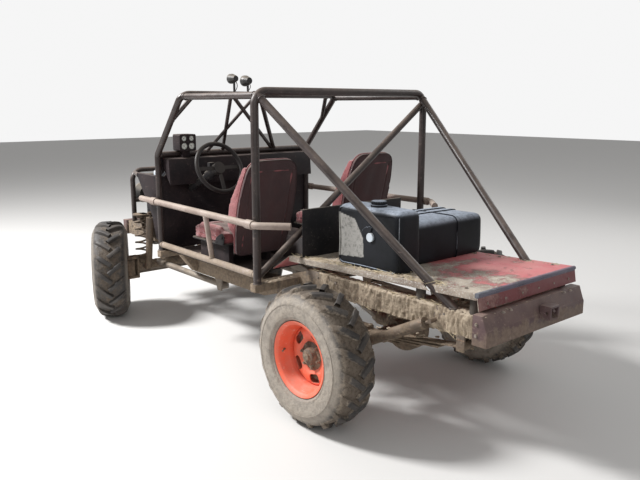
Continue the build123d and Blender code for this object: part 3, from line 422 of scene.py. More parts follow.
# effects that several finishes share
def newEffect(name, outputs, **inputs):
    # colours are given as tuples and all else as numbers
    effect = bpy.data.node_groups.new(name, "ShaderNodeTree")
    for label, value in inputs.items():
        kind = "Color" if isinstance(value, tuple) else "Float"
        socket = effect.interface.new_socket(name=label, in_out="INPUT", socket_type="NodeSocket" + kind)
        socket.default_value = value
    for label in outputs:
        kind = "Color" if label == "Color" else "Float"
        effect.interface.new_socket(name=label, in_out="OUTPUT", socket_type="NodeSocket" + kind)
    start = effect.nodes.new("NodeGroupInput")
    end = effect.nodes.new("NodeGroupOutput")
    return effect, start.outputs, end.inputs


def layOver(effect, made, mask, under, over):
    # the second colour over the first as far as the mask goes
    effect.links.new(blendColours(effect, mask, under, over), made["Color"])
    effect.links.new(mask, made["Mask"])
    return effect


plainGrey = (0.5, 0.5, 0.5, 1)


def makeDrift():
    # slow change of colour over a surface, with finer spots on top
    effect, given, made = newEffect("colourDrift", ["Color", "Mask"], Base=plainGrey, Second=plainGrey,
                                    Size=5.0, Amount=0.5)
    broad = cloudNoise(effect, given["Size"], 4, 0.55)
    fine = cloudNoise(effect, times(effect, given["Size"], 9.0), 5, 0.7)
    both = plus(effect, times(effect, broad, 0.7), times(effect, fine, 0.3))
    mask = times(effect, ramp(effect, both, 0.38, 0.62), given["Amount"])
    return layOver(effect, made, mask, given["Base"], given["Second"])


def makeDust():
    # dust that settles on what faces up, and thinly everywhere else
    effect, given, made = newEffect("settledDust", ["Color", "Mask"], Color=plainGrey, Dust=plainGrey,
                                    Amount=0.5, Everywhere=0.2, Size=9.0)
    upward = ramp(effect, axesOf(effect, facingOf(effect))[2], 0.05, 0.85)
    patches = ramp(effect, cloudNoise(effect, given["Size"], 8, 0.65), 0.34, 0.66, 0.35, 1.0)
    spread = times(effect, plus(effect, upward, given["Everywhere"]), patches)
    mask = calc(effect, "MINIMUM", times(effect, spread, given["Amount"]), 1.0)
    return layOver(effect, made, mask, given["Color"], given["Dust"])


def makeMud():
    # dried mud, thicker towards the ground
    effect, given, made = newEffect("driedMud", ["Color", "Mask", "Height"], Color=plainGrey, Mud=plainGrey,
                                    Low=0.4, High=0.9, Amount=1.0, Size=12.0)
    level = ramp(effect, axesOf(effect, whereOn(effect))[2], given["Low"], given["High"], 1.0, 0.0)
    clods = cloudNoise(effect, given["Size"], 9, 0.68)
    edge = plus(effect, level, swing(effect, clods, 2.4))
    mask = times(effect, ramp(effect, edge, 0.35, 0.72), given["Amount"])
    grains = cloudNoise(effect, times(effect, given["Size"], 4.0), 6, 0.7)
    dark = addNode(effect, "HueSaturation", Value=0.55)
    effect.links.new(given["Mud"], dark.inputs["Color"])
    soil = blendColours(effect, ramp(effect, grains, 0.3, 0.7), dark.outputs["Color"], given["Mud"])
    effect.links.new(times(effect, plus(effect, clods, grains), mask), made["Height"])
    return layOver(effect, made, mask, given["Color"], soil)


def makeScratches():
    # worn paint: long scratches and small chips down to another colour
    effect, given, made = newEffect("wornPaint", ["Color", "Mask"], Color=plainGrey, Bare=plainGrey,
                                    Amount=0.4, Size=10.0)
    long = cloudNoise(effect, given["Size"], 8, 0.75, (1.0, 7.0, 7.0))
    cross = cloudNoise(effect, given["Size"], 8, 0.75, (8.0, 1.0, 8.0))
    chips = cloudNoise(effect, times(effect, given["Size"], 3.0), 9, 0.8)
    lines = calc(effect, "MAXIMUM", ramp(effect, long, 0.60, 0.66), ramp(effect, cross, 0.63, 0.68))
    worn = calc(effect, "MAXIMUM", lines, ramp(effect, chips, 0.60, 0.64))
    return layOver(effect, made, times(effect, worn, given["Amount"]), given["Color"], given["Bare"])


def makeGrain():
    # fine surface texture for a bump: orange peel, casting skin or moulded grain
    effect, given, made = newEffect("surfaceGrain", ["Height"], Size=200.0)
    small = cloudNoise(effect, given["Size"], 5, 0.6)
    large = cloudNoise(effect, times(effect, given["Size"], 0.12), 4, 0.5)
    effect.links.new(plus(effect, times(effect, small, 0.5), times(effect, large, 0.6)), made["Height"])
    return effect


def makeWeave():
    # crossing threads, read from where the cloth is
    effect, given, made = newEffect("clothWeave", ["Height"], Size=700.0)
    where = whereOn(effect)
    threads = []
    for axis in "XYZ":
        wave = addNode(effect, "TexWave", {"wave_type": "BANDS", "bands_direction": axis}, Distortion=1.2,
                       Detail=2.0)
        effect.links.new(where, wave.inputs["Vector"])
        effect.links.new(given["Size"], wave.inputs["Scale"])
        threads.append(wave.outputs["Fac"])
    pair = calc(effect, "MAXIMUM", threads[0], threads[1])
    effect.links.new(plus(effect, times(effect, pair, 0.6), times(effect, threads[2], 0.4)), made["Height"])
    return effect


effects = {
    "drift": makeDrift(), "dust": makeDust(), "mud": makeMud(),
    "wear": makeScratches(), "grain": makeGrain(), "weave": makeWeave(),
}
print("shared effects ready:", len(effects))


def placeEffect(tree, name, colour=None, **values):
    node = addNode(tree, "Group", {"node_tree": effects[name]}, **values)
    if colour is not None:
        tree.links.new(colour, node.inputs["Color"])
    return node.outputs


def newFinish(name):
    finish = bpy.data.materials.new(name)
    finish.use_nodes = True
    return finish, finish.node_tree, finish.node_tree.nodes["Principled BSDF"]


def makeFinish(name, look):
    # one painted, cast, moulded or woven finish from its dictionary
    finish, tree, shader = newFinish(name)
    drift = placeEffect(tree, "drift", Base=rgb(look["base"]), Second=rgb(look["second"]),
                        Size=look.get("driftSize", 5.0), Amount=look.get("drift", 0.7))
    colour, masks = drift["Color"], []
    relief = times(tree, placeEffect(tree, "grain", Size=look.get("grainSize", 260.0))["Height"],
                   look.get("grain", 0.4))
    if "wear" in look:
        wear = placeEffect(tree, "wear", colour, Bare=rgb(look["bare"]), Amount=look["wear"],
                           Size=look.get("wearSize", 9.0))
        colour = wear["Color"]
    if "dust" in look:
        dust = placeEffect(tree, "dust", colour, Dust=rgb(look["dustColour"]), Amount=look["dust"],
                           Everywhere=look.get("dustAll", 0.15), Size=look.get("dustSize", 9.0))
        colour = dust["Color"]
        masks.append(dust["Mask"])
    if "weave" in look:
        relief = plus(tree, relief,
                      times(tree, placeEffect(tree, "weave", Size=look["weave"])["Height"], 0.8))
    if "mud" in look:
        mud = placeEffect(tree, "mud", colour, Mud=rgb(look.get("mudColour", mudTone)), Amount=look["mud"],
                          Low=look["mudLow"], High=look["mudHigh"])
        colour = mud["Color"]
        masks.append(mud["Mask"])
        relief = plus(tree, relief, times(tree, mud["Height"], 3.0))
    tree.links.new(colour, shader.inputs["Base Color"])
    rough = ramp(tree, drift["Mask"], 0.0, 1.0, look.get("roughLow", 0.45), look.get("roughHigh", 0.7))
    for mask in masks:
        rough = plus(tree, rough, times(tree, mask, 0.35))
    tree.links.new(calc(tree, "MINIMUM", rough, 0.97), shader.inputs["Roughness"])
    shader.inputs["Metallic"].default_value = look.get("metal", 0.0)
    shader.inputs["Specular IOR Level"].default_value = look.get("gloss", 0.5)
    if "sheen" in look:
        shader.inputs["Sheen Weight"].default_value = look["sheen"]
        shader.inputs["Sheen Roughness"].default_value = 0.5
    linkRelief(tree, shader, relief, look.get("bump", 0.35), look.get("depth", 0.002))
    return finish


def variantOf(name, look):
    # a finish to build on: its tree, its shader and the socket of its colour
    finish = makeFinish(name, looks[look])
    shader = finish.node_tree.nodes["Principled BSDF"]
    return finish, finish.node_tree, shader, shader.inputs["Base Color"].links[0].from_socket


mudTone = (0.30, 0.235, 0.17)       # mud on the side bars and links
soilTone = (0.27, 0.205, 0.145)     # dried mud on the axles and the frame
dustTone = (0.46, 0.39, 0.31)       # pale road dust
looks = {
    "cagePaint": {
        "base": (0.024, 0.017, 0.016), "second": (0.048, 0.033, 0.030), "bare": (0.30, 0.23, 0.19),
        "wear": 0.35, "dust": 0.30, "dustAll": 0.02, "dustColour": (0.40, 0.31, 0.25), "roughLow": 0.28,
        "roughHigh": 0.55,
    },
    "sidePaint": {
        "base": (0.34, 0.27, 0.235), "second": (0.17, 0.12, 0.10), "bare": (0.13, 0.085, 0.07), "wear": 0.6,
        "dust": 0.4, "dustColour": dustTone, "mud": 0.7, "mudLow": 0.62, "mudHigh": 0.98,
    },
    "framePaint": {
        "base": (0.10, 0.08, 0.065), "second": (0.17, 0.13, 0.10), "bare": (0.26, 0.16, 0.10), "wear": 0.5,
        "dust": 0.6, "dustColour": soilTone, "mud": 0.95, "mudLow": 0.55, "mudHigh": 0.92,
        "mudColour": soilTone, "bump": 0.6, "depth": 0.004,
    },
    "deckPaint": {
        "base": (0.45, 0.045, 0.062), "second": (0.58, 0.14, 0.165), "bare": (0.58, 0.42, 0.40),
        "wear": 0.8, "wearSize": 6.0, "dust": 0.45, "dustAll": 0.05, "dustColour": (0.55, 0.36, 0.32),
        "dustSize": 5.0, "roughLow": 0.4, "roughHigh": 0.65, "driftSize": 3.5,
    },
    # dark base colours, darkened as painted shade on the rear
    "bumperPaint": {
        "base": (0.060, 0.032, 0.036), "second": (0.105, 0.060, 0.058), "bare": (0.33, 0.24, 0.20),
        "wear": 0.5, "dust": 0.45, "dustAll": 0.06, "dustColour": (0.36, 0.27, 0.22), "mud": 0.5,
        "mudLow": 0.58, "mudHigh": 0.74, "mudColour": soilTone,
    },
    "panelPaint": {
        "base": (0.012, 0.010, 0.012), "second": (0.030, 0.020, 0.021), "bare": (0.20, 0.15, 0.14),
        "wear": 0.30, "dust": 0.26, "dustAll": 0.02, "dustColour": (0.30, 0.235, 0.20), "gloss": 0.18,
    },
    "rimPaint": {
        "base": (0.80, 0.105, 0.040), "second": (0.66, 0.13, 0.070), "bare": (0.80, 0.58, 0.50),
        "wear": 0.40, "wearSize": 7.0, "dust": 0.25, "dustAll": 0.26, "dustColour": (0.66, 0.50, 0.42),
        "roughLow": 0.38, "roughHigh": 0.6, "driftSize": 4.0,
    },
    "engineIron": {
        "base": (0.10, 0.092, 0.085), "second": (0.05, 0.045, 0.04), "bare": (0.24, 0.15, 0.10),
        "wear": 0.4, "dust": 0.5, "dustColour": dustTone, "grain": 1.2, "roughLow": 0.5, "roughHigh": 0.8,
    },
    "gearAlloy": {
        "base": (0.34, 0.33, 0.315), "second": (0.22, 0.21, 0.20), "dust": 0.5, "dustColour": soilTone,
        "mud": 0.7, "mudLow": 0.5, "mudHigh": 0.8, "mudColour": soilTone, "metal": 0.5, "grain": 1.0,
    },
    "axleIron": {
        "base": (0.065, 0.050, 0.040), "second": (0.13, 0.095, 0.070), "bare": (0.26, 0.16, 0.10),
        "wear": 0.3, "dust": 0.8, "dustColour": soilTone, "mud": 1.0, "mudLow": 0.30, "mudHigh": 0.62,
        "mudColour": soilTone, "grain": 1.2, "bump": 0.7, "depth": 0.004,
    },
    "springSteel": {
        "base": (0.10, 0.078, 0.062), "second": (0.17, 0.125, 0.092), "bare": (0.36, 0.20, 0.12),
        "wear": 0.5, "dust": 0.7, "dustColour": soilTone, "mud": 0.9, "mudLow": 0.4, "mudHigh": 0.75,
        "mudColour": soilTone, "metal": 0.3, "bump": 0.6, "depth": 0.003,
    },
    "linkSteel": {
        "base": (0.26, 0.245, 0.23), "second": (0.15, 0.13, 0.12), "bare": (0.34, 0.20, 0.13), "wear": 0.4,
        "dust": 0.5, "dustColour": dustTone, "mud": 0.5, "mudLow": 0.3, "mudHigh": 0.6, "metal": 0.55,
    },
    "exhaustSteel": {
        "base": (0.26, 0.19, 0.15), "second": (0.14, 0.09, 0.07), "bare": (0.42, 0.25, 0.16), "wear": 0.6,
        "dust": 0.5, "dustColour": soilTone, "metal": 0.4, "mud": 0.5, "mudLow": 0.45, "mudHigh": 0.7,
    },
    "blackMetal": {
        "base": (0.012, 0.012, 0.014), "second": (0.030, 0.027, 0.028), "bare": (0.20, 0.17, 0.15),
        "wear": 0.3, "dust": 0.3, "dustAll": 0.01, "dustColour": dustTone, "gloss": 0.16, "roughLow": 0.5,
        "roughHigh": 0.7,
    },
    # pale blue on upward faces: dust and a painted highlight of the sky
    "tankPlastic": {
        "base": (0.008, 0.009, 0.011), "second": (0.016, 0.017, 0.021), "drift": 0.8, "dust": 0.4,
        "dustAll": 0.0, "dustColour": (0.34, 0.37, 0.42), "dustSize": 6.0, "gloss": 0.17, "roughLow": 0.42,
        "roughHigh": 0.58, "grain": 0.7, "grainSize": 420.0,
    },
    "bottlePlastic": {
        "base": (0.60, 0.66, 0.72), "second": (0.48, 0.53, 0.58), "dust": 0.4, "dustColour": dustTone,
        "roughLow": 0.35, "roughHigh": 0.5,
    },
    "lampShell": {
        "base": (0.025, 0.025, 0.027), "second": (0.05, 0.048, 0.045), "dust": 0.4, "dustColour": dustTone,
        "dustAll": 0.05, "gloss": 0.3, "roughLow": 0.35, "roughHigh": 0.55,
    },
    "wheelCover": {
        "base": (0.014, 0.012, 0.012), "second": (0.022, 0.018, 0.018), "dust": 0.12, "dustAll": 0.0,
        "gloss": 0.25, "dustColour": dustTone, "grain": 1.4, "grainSize": 520.0, "roughLow": 0.4,
        "roughHigh": 0.62,
    },
    # the seat cloth painted darker: painted shade on the back cover, also used for the dark channels of the
    # pads
    "seatDark": {
        "base": (0.044, 0.017, 0.019), "second": (0.074, 0.029, 0.030), "dust": 0.25, "dustAll": 0.05,
        "dustColour": dustTone, "weave": 620.0, "sheen": 0.12, "roughLow": 0.75, "roughHigh": 0.92,
        "bump": 0.5,
    },
    # the seat cloth as it looks in light; its pale pink on upward faces is dust and painted sunlight
    "seatMaroon": {
        "base": (0.215, 0.036, 0.044), "second": (0.30, 0.075, 0.078), "dust": 0.4, "dustAll": 0.12,
        "dustColour": (0.55, 0.40, 0.36), "weave": 620.0, "sheen": 0.4, "roughLow": 0.7, "roughHigh": 0.9,
        "bump": 0.5,
    },
    "mountRubber": {
        "base": (0.03, 0.028, 0.026), "second": (0.06, 0.05, 0.042), "dust": 0.6, "dustColour": soilTone,
        "mud": 0.6, "mudLow": 0.6, "mudHigh": 0.82, "roughLow": 0.7, "roughHigh": 0.9,
    },
    "boltSteel": {
        "base": (0.30, 0.27, 0.245), "second": (0.20, 0.145, 0.11), "bare": (0.40, 0.24, 0.15), "wear": 0.5,
        "dust": 0.4, "dustColour": dustTone, "metal": 0.7, "roughLow": 0.35, "roughHigh": 0.6,
    },
    # pale blue-grey for the tank's two lines: a painted highlight on a lit corner, and a moulding seam
    "paleSeamAndHighlight": {
        "base": (0.42, 0.45, 0.50), "second": (0.14, 0.15, 0.17), "driftSize": 16.0, "drift": 0.8,
        "roughLow": 0.5, "roughHigh": 0.7,
    },
    "clodSoil": {
        "base": (0.22, 0.170, 0.120), "second": (0.40, 0.325, 0.24), "driftSize": 22.0, "dust": 0.7,
        "dustAll": 0.1, "dustColour": (0.50, 0.42, 0.32), "roughLow": 0.9, "roughHigh": 0.96, "grain": 2.0,
        "grainSize": 320.0, "bump": 0.9, "depth": 0.003,
    },
    "strawDry": {
        "base": (0.62, 0.52, 0.33), "second": (0.42, 0.34, 0.22), "driftSize": 40.0, "roughLow": 0.7,
        "roughHigh": 0.85,
    },
    "dialWhite": {
        "base": (0.72, 0.75, 0.70), "second": (0.60, 0.63, 0.60), "dust": 0.3, "dustAll": 0.5,
        "dustColour": dustTone, "roughLow": 0.25, "roughHigh": 0.4,
    },
    "lampGlass": {
        "base": (0.62, 0.66, 0.68), "second": (0.50, 0.54, 0.57), "dust": 0.35, "dustAll": 0.35,
        "dustColour": dustTone, "roughLow": 0.08, "roughHigh": 0.25, "grain": 0.1,
    },
}
finishes = {name: makeFinish(name, look) for name, look in looks.items()}
print("finishes ready:", len(finishes))


# camera, light and floor, at the photograph's own viewing angle
shot = {
    "place": (-3.7315, 2.988, 1.711), "aim": -40.542, "tilt": -11.175, "lens": 38.6125,
    "floorColour": (0.70, 0.69, 0.675), "sky": 0.36, "lit": Vector((0, 0, 0.7)),
    "lamps": [("sunSide", (4.2, 4.6, 6.2), 1.6, 1150), ("cameraSide", (-5.5, 3.6, 3.6), 4.0, 70),
              ("farSide", (-1.0, -6.0, 4.5), 4.0, 80)],
}


def setUpShot():
    bpy.ops.object.camera_add(location=shot["place"],
                              rotation=(math.radians(90 + shot["tilt"]), 0, math.radians(shot["aim"] - 90)))
    camera = bpy.context.object
    camera.data.sensor_width = 36
    camera.data.lens = shot["lens"]
    camera.data.clip_start = 0.02
    camera.data.clip_end = 200
    bpy.context.scene.camera = camera
    bpy.context.scene.view_settings.view_transform = "Standard"
    for name, where, size, power in shot["lamps"]:
        bpy.ops.object.light_add(type="AREA", location=where, rotation=turnTo(Vector(where) - shot["lit"]))
        lamp = bpy.context.object
        lamp.name = name
        lamp.data.size = size
        lamp.data.energy = power
    world = bpy.context.scene.world or bpy.data.worlds.new("studio")
    bpy.context.scene.world = world
    world.use_nodes = True
    tree = world.node_tree
    tree.nodes.clear()
    ray = tree.nodes.new("ShaderNodeLightPath")
    seen = calc(tree, "MAXIMUM", ray.outputs["Is Camera Ray"],
                times(tree, ray.outputs["Is Glossy Ray"], 0.6))
    sky = addNode(tree, "Background", Color=(1, 1, 1, 1))
    tree.links.new(calc(tree, "MAXIMUM", times(tree, seen, 0.92), shot["sky"]), sky.inputs["Strength"])
    out = tree.nodes.new("ShaderNodeOutputWorld")
    tree.links.new(sky.outputs["Background"], out.inputs["Surface"])
    bpy.ops.mesh.primitive_plane_add(size=60, location=(0, 0, 0))
    floor = bpy.context.object
    floor.name = "studioFloor"
    ground, tree, shader = newFinish("studioGround")
    shader.inputs["Base Color"].default_value = rgb(shot["floorColour"])
    shader.inputs["Roughness"].default_value = 0.9
    floor.data.materials.append(ground)
    floor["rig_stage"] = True


setUpShot()
print("shot ready")


# the four wheels are made once round the Y axis, outer face towards +Y, then copied to their places
wheels = {
    "front_left": {"centre": (1.554064, 0.720325, 0.389), "side": 1, "turn": -26, "spin": 7},
    "front_right": {"centre": (1.426936, -0.720325, 0.389), "side": -1, "turn": -26, "spin": 3},
    "rear_left": {"centre": (-1.0495, 0.735, 0.389), "side": 1, "turn": 0, "spin": 0},
    "rear_right": {"centre": (-1.0495, -0.735, 0.389), "side": -1, "turn": 0, "spin": 0},
}
tyre = {
    "outline": [(0.098, 0.190), (0.101, 0.2085), (0.113, 0.214), (0.121, 0.224), (0.1285, 0.240),
                (0.1312, 0.262), (0.1328, 0.285), (0.1312, 0.306), (0.1225, 0.325), (0.1120, 0.343),
                (0.094, 0.3555), (0.060, 0.3625), (0.025, 0.365)],
    "inner": [(0.082, 0.190), (0.100, 0.216), (0.117, 0.262), (0.117, 0.300), (0.101, 0.326),
              (0.04, 0.345)],
    "lugs": 18, "slant": 38,
    "stations": [(-0.010, 0.3890, 0.0125), (0.022, 0.3890, 0.0130), (0.050, 0.3872, 0.0140),
                 (0.072, 0.3830, 0.0150), (0.090, 0.3745, 0.0160), (0.104, 0.3605, 0.0168),
                 (0.114, 0.3425, 0.0174), (0.121, 0.3250, 0.0178), (0.1245, 0.3110, 0.0180)],
    "bury": 0.028, "flare": 0.0055, "edge": 0.0028, "roll": 0.375, "straightUpTo": 0.104,
    "wallFrom": 0.102, "shoulder": 0.352, "crown": 0.345, "tops": 0.372,
}


def makeLug():
    # one slanted bar, bent over the crown and the shoulder
    rows = len(tyre["stations"])
    clearSelection()
    bpy.ops.mesh.primitive_grid_add(x_subdivisions=3, y_subdivisions=rows - 1, size=1)
    lug = bpy.context.object
    across = len(lug.data.vertices) // rows
    lean = math.radians(tyre["slant"])
    ordered = sorted(lug.data.vertices, key=lambda v: (round(v.co.y, 4), round(v.co.x, 4)))
    for number, vertex in enumerate(ordered):
        row, column = divmod(number, across)
        along, top, half = tyre["stations"][row]
        outer = column in (0, across - 1)
        side = -1 if column < across / 2 else 1
        width = half + (tyre["flare"] if outer else 0)
        radius = top - (tyre["bury"] if outer else 0)
        straight = clamp((tyre["straightUpTo"] - along) / 0.04)
        around = along * math.tan(lean) - side * width * (math.cos(lean) * straight + 1 - straight)
        shifted = along + side * width * math.sin(lean) * straight
        angle = around / tyre["roll"]
        vertex.co = (radius * math.sin(angle), shifted, radius * math.cos(angle))
    return bevelBy(tidyMesh(lug), tyre["edge"], 32)


def onWall(x, y, z):
    # 1 on the bare side wall, for the dust that covers it
    return clamp((abs(y) - tyre["wallFrom"]) / 0.012) * clamp((tyre["shoulder"] - math.hypot(x, z)) / 0.024)


def soilAt(x, y, z):
    # soil is high between the lugs and low on the tops that touch the road; where it is high, the finish
    # also paints the earth darker as shade in the grooves
    radius = math.hypot(x, z)
    between, touching = clamp((radius - tyre["crown"]) / 0.02), clamp((radius - tyre["tops"]) / 0.012)
    return 0.42 + 0.5 * between - 0.75 * touching


def makeTyre():
    half = smoothLine(tyre["outline"], 3)
    outer = half + [(-a, r) for a, r in reversed(half)]
    inside = tyre["inner"]
    section = outer + [(-a, r) for a, r in inside] + [(a, r) for a, r in reversed(inside)]
    carcass = spinSection(section, 108)
    rows = []
    for radius, across, wire in [(0.2265, 0.1225, 0.0022), (0.2335, 0.1262, 0.0016),
                                 (0.3000, 0.1330, 0.0020)]:
        for side in (-1, 1):
            rows.append(ringAt((0, side * across, 0), (0, 1, 0), radius, wire, 96, 6))
    first = makeLug()
    step = 360 / tyre["lugs"]
    for number in range(tyre["lugs"]):
        for side, shift in ((1, 0.0), (-1, 0.5)):
            lug = copyOf(first)
            lug.scale = (1, side, 1)
            lug.rotation_euler = (0, math.radians((number + shift) * step), 0)
            bpy.ops.object.transform_apply()
            if side < 0:
                editAll(bpy.ops.mesh.normals_make_consistent, inside=False)
            rows.append(lug)
    discard(first)
    whole = joinAll([carcass] + rows)
    markPoints(whole, "wall", onWall)
    markPoints(whole, "soil", soilAt)
    return smoothBy(whole, 40)


def makeTyreFinish():
    # rubber under earth that is pale on the lug tops and deep brown between the lugs, where the darker
    # earth is painted shade in the grooves
    finish, tree, shader = newFinish("tyreRubber")
    drift = placeEffect(tree, "drift", Base=rgb((0.026, 0.023, 0.022)), Second=rgb((0.085, 0.073, 0.064)),
                        Size=7.0, Amount=0.8)
    soil = readMark(tree, "soil")
    clods = cloudNoise(tree, 24.0, 9, 0.7)
    ahead = axesOf(tree, whereOn(tree))[0]
    level = plus(tree, soil, swing(tree, clods, 1.3))
    level = plus(tree, level, swing(tree, cloudNoise(tree, 5.0, 4, 0.6), 1.1))
    # the front tyres, ahead on x, get less earth and so look darker: painted shade
    mask = ramp(tree, calc(tree, "SUBTRACT", level, ramp(tree, ahead, -0.5, 0.5, 0.0, 0.34)), 0.30, 0.80)
    # earth pale on the tops and dark between the lugs: real earth with painted shade in the grooves
    paleEarthOutsideGrooveShade = times(tree, ramp(tree, cloudNoise(tree, 60.0, 6, 0.7), 0.30, 0.58),
                ramp(tree, soil, 0.45, 0.85, 1.0, 0.22))
    earth = blendColours(tree, paleEarthOutsideGrooveShade, tone(tree, (0.075, 0.056, 0.042)), tone(tree, (0.36, 0.30, 0.235)))
    colour = blendColours(tree, mask, drift["Color"], earth)
    # pale dust on the side walls, with less of it on the front tyres as painted shade
    wallDustAndFrontShade = times(tree, readMark(tree, "wall"), ramp(tree, clods, 0.32, 0.62, 0.50, 0.92))
    wallDustAndFrontShade = times(tree, wallDustAndFrontShade, ramp(tree, ahead, -0.5, 0.5, 1.0, 0.55))
    colour = blendColours(tree, wallDustAndFrontShade, colour, tone(tree, (0.36, 0.315, 0.265)))
    tree.links.new(colour, shader.inputs["Base Color"])
    tree.links.new(ramp(tree, mask, 0.0, 1.0, 0.62, 0.95), shader.inputs["Roughness"])
    grain = placeEffect(tree, "grain", Size=380.0)
    relief = plus(tree, times(tree, grain["Height"], 0.5), times(tree, times(tree, clods, mask), 3.2))
    linkRelief(tree, shader, relief, 0.55, 0.005)
    return finish


finishes["tyreRubber"] = makeTyreFinish()


def wheelCopy(source, name, wheel, finish):
    # a copy with its own mesh, at that wheel's place
    where = wheels[wheel]
    piece = copyOf(source)
    move = Matrix.Translation(where["centre"]) @ Matrix.Rotation(math.radians(where["turn"]), 4, "Z")
    spin = Matrix.Rotation(math.radians(where["spin"]), 4, "Y")
    move = move @ Matrix.Diagonal((1, where["side"], 1, 1)) @ spin
    piece.data.transform(move)
    if where["side"] < 0:
        editAll(bpy.ops.mesh.flip_normals)
    return settle(piece, name + "_" + wheel, finish, "wheel_" + wheel)


tyrePattern = makeTyre()
for wheel in wheels:
    piece = wheelCopy(tyrePattern, "tyre", wheel, "tyreRubber")
    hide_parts("tyre_" + wheel)
discard(tyrePattern)
print("tyres ready")


rim = {
    "lip": 0.208, "bead": 0.190, "well": 0.172, "half": 0.112, "wall": 0.006,
    "windows": 5, "windowCircle": 0.124, "windowLong": 0.076, "windowWide": 0.050, "windowTurn": 0.45,
    "nuts": 6, "nutCircle": 0.0665,
}


def makeRim():
    h, lip, bead, well, t = rim["half"], rim["lip"], rim["bead"], rim["well"], rim["wall"]
    outer = [(-h, lip), (-h + 0.003, lip + 0.001), (-h + 0.006, lip - 0.002), (-h + 0.010, bead + 0.004),
             (-h + 0.014, bead), (-h + 0.040, bead - 0.003), (-0.050, well + 0.003), (-0.044, well),
             (0.030, well), (0.038, well + 0.003), (h - 0.040, bead - 0.003), (h - 0.014, bead),
             (h - 0.010, bead + 0.004), (h - 0.006, lip - 0.002), (h - 0.003, lip + 0.001), (h, lip)]
    inner = [(h + 0.001, lip - 0.003), (h - 0.001, lip - t), (h - 0.008, bead - t + 0.004),
             (h - 0.014, bead - t), (h - 0.042, bead - t - 0.003), (0.040, well - t + 0.002),
             (0.034, well - t), (-0.046, well - t), (-0.052, well - t + 0.002),
             (-h + 0.042, bead - t - 0.003), (-h + 0.014, bead - t), (-h + 0.006, bead - t + 0.004),
             (-h - 0.001, lip - t)]
    barrel = spinSection(outer + inner, 96)
    disc = [(-0.006, well - 0.004), (0.003, well - 0.004), (0.016, well - 0.014), (0.023, well - 0.026),
            (0.0265, 0.132), (0.0275, 0.112), (0.025, 0.098), (0.018, 0.089), (0.0155, 0.082),
            (0.015, 0.050), (0.014, 0.0445), (0.008, 0.0445), (0.008, 0.082), (0.0105, 0.090),
            (0.018, 0.1), (0.0205, 0.112), (0.0195, 0.132), (0.016, well - 0.030), (0.009, well - 0.020),
            (-0.001, well - 0.010)]
    dish = spinSection(disc, 96)
    cutters = []

    def runsAlongY(edge):
        # whether an edge of the newest cutter goes through the disc
        a, b = (cutter.data.vertices[i].co for i in edge.vertices)
        return abs(a.x - b.x) < 1e-6 and abs(a.z - b.z) < 1e-6

    for number in range(rim["windows"]):
        clearSelection()
        bpy.ops.mesh.primitive_cube_add(size=1)
        cutter = bpy.context.object
        cutter.scale = (rim["windowWide"], 0.08, rim["windowLong"])
        bpy.ops.object.transform_apply()
        editEdges(cutter, runsAlongY, bpy.ops.mesh.bevel, offset=0.017, segments=6, affect="EDGES")
        turn = math.radians((number + rim["windowTurn"]) * 360 / rim["windows"])
        outward = Matrix.Translation((rim["windowCircle"], 0.018, 0))
        cutter.data.transform(Matrix.Rotation(turn, 4, "Y") @ outward)
        cutters.append(cutter)
    cutter = joinAll(cutters)
    useModifier(dish, "BOOLEAN", operation="DIFFERENCE", object=cutter, solver="EXACT")
    discard(cutter)
    bevelBy(dish, 0.0016, 50)
    return smoothBy(joinAll([barrel, dish]), 38)


def makeHub():
    # the muddy hub in the middle, its nuts and the drum behind
    cap = [(0.012, 0.0004), (0.012, 0.078), (0.017, 0.078), (0.019, 0.074), (0.020, 0.050), (0.036, 0.045),
           (0.047, 0.042), (0.050, 0.036), (0.052, 0.026), (0.0605, 0.023), (0.063, 0.018),
           (0.0635, 0.0004)]
    parts = [spinSection(cap, 48, 0.001)]
    for number in range(rim["nuts"]):
        turn = fullTurn * (number + 0.2) / rim["nuts"]
        x, z = rim["nutCircle"] * math.cos(turn), rim["nutCircle"] * math.sin(turn)
        parts.append(bar((x, 0.019, z), (x, 0.033, z), 0.0105, 6))
        parts.append(bar((x, 0.018, z), (x, 0.022, z), 0.0135, 20))
        parts.append(bar((x, 0.033, z), (x, 0.041, z), 0.0058, 12))
    drum = spinSection([(-0.062, 0.120), (-0.062, 0.140), (-0.058, 0.1415), (-0.054, 0.140),
                        (-0.036, 0.140), (-0.034, 0.1425), (-0.030, 0.1425), (-0.028, 0.140),
                        (-0.008, 0.140), (-0.001, 0.132), (0.000, 0.070), (-0.006, 0.070),
                        (-0.010, 0.120)], 72)
    parts.append(drum)
    return smoothBy(joinAll(parts), 38)


def makeValve():
    stem = bar((0.181, 0.060, 0.0), (0.163, 0.086, 0.0), 0.0036, 12)
    collar = bar((0.181, 0.060, 0.0), (0.176, 0.067, 0.0), 0.0065, 12)
    cap = bar((0.1655, 0.0825, 0.0), (0.1585, 0.0925, 0.0), 0.0048, 12)
    return smoothBy(joinAll([stem, collar, cap]), 38)


rimPattern, hubPattern, valvePattern = makeRim(), makeHub(), makeValve()
for wheel in wheels:
    piece = wheelCopy(rimPattern, "rim", wheel, "rimPaint")
    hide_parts("rim_" + wheel)
    wheelCopy(hubPattern, "hub", wheel, "axleIron")
    wheelCopy(valvePattern, "valve", wheel, "mountRubber")
discard(rimPattern, hubPattern, valvePattern)
print("rims and hubs ready")


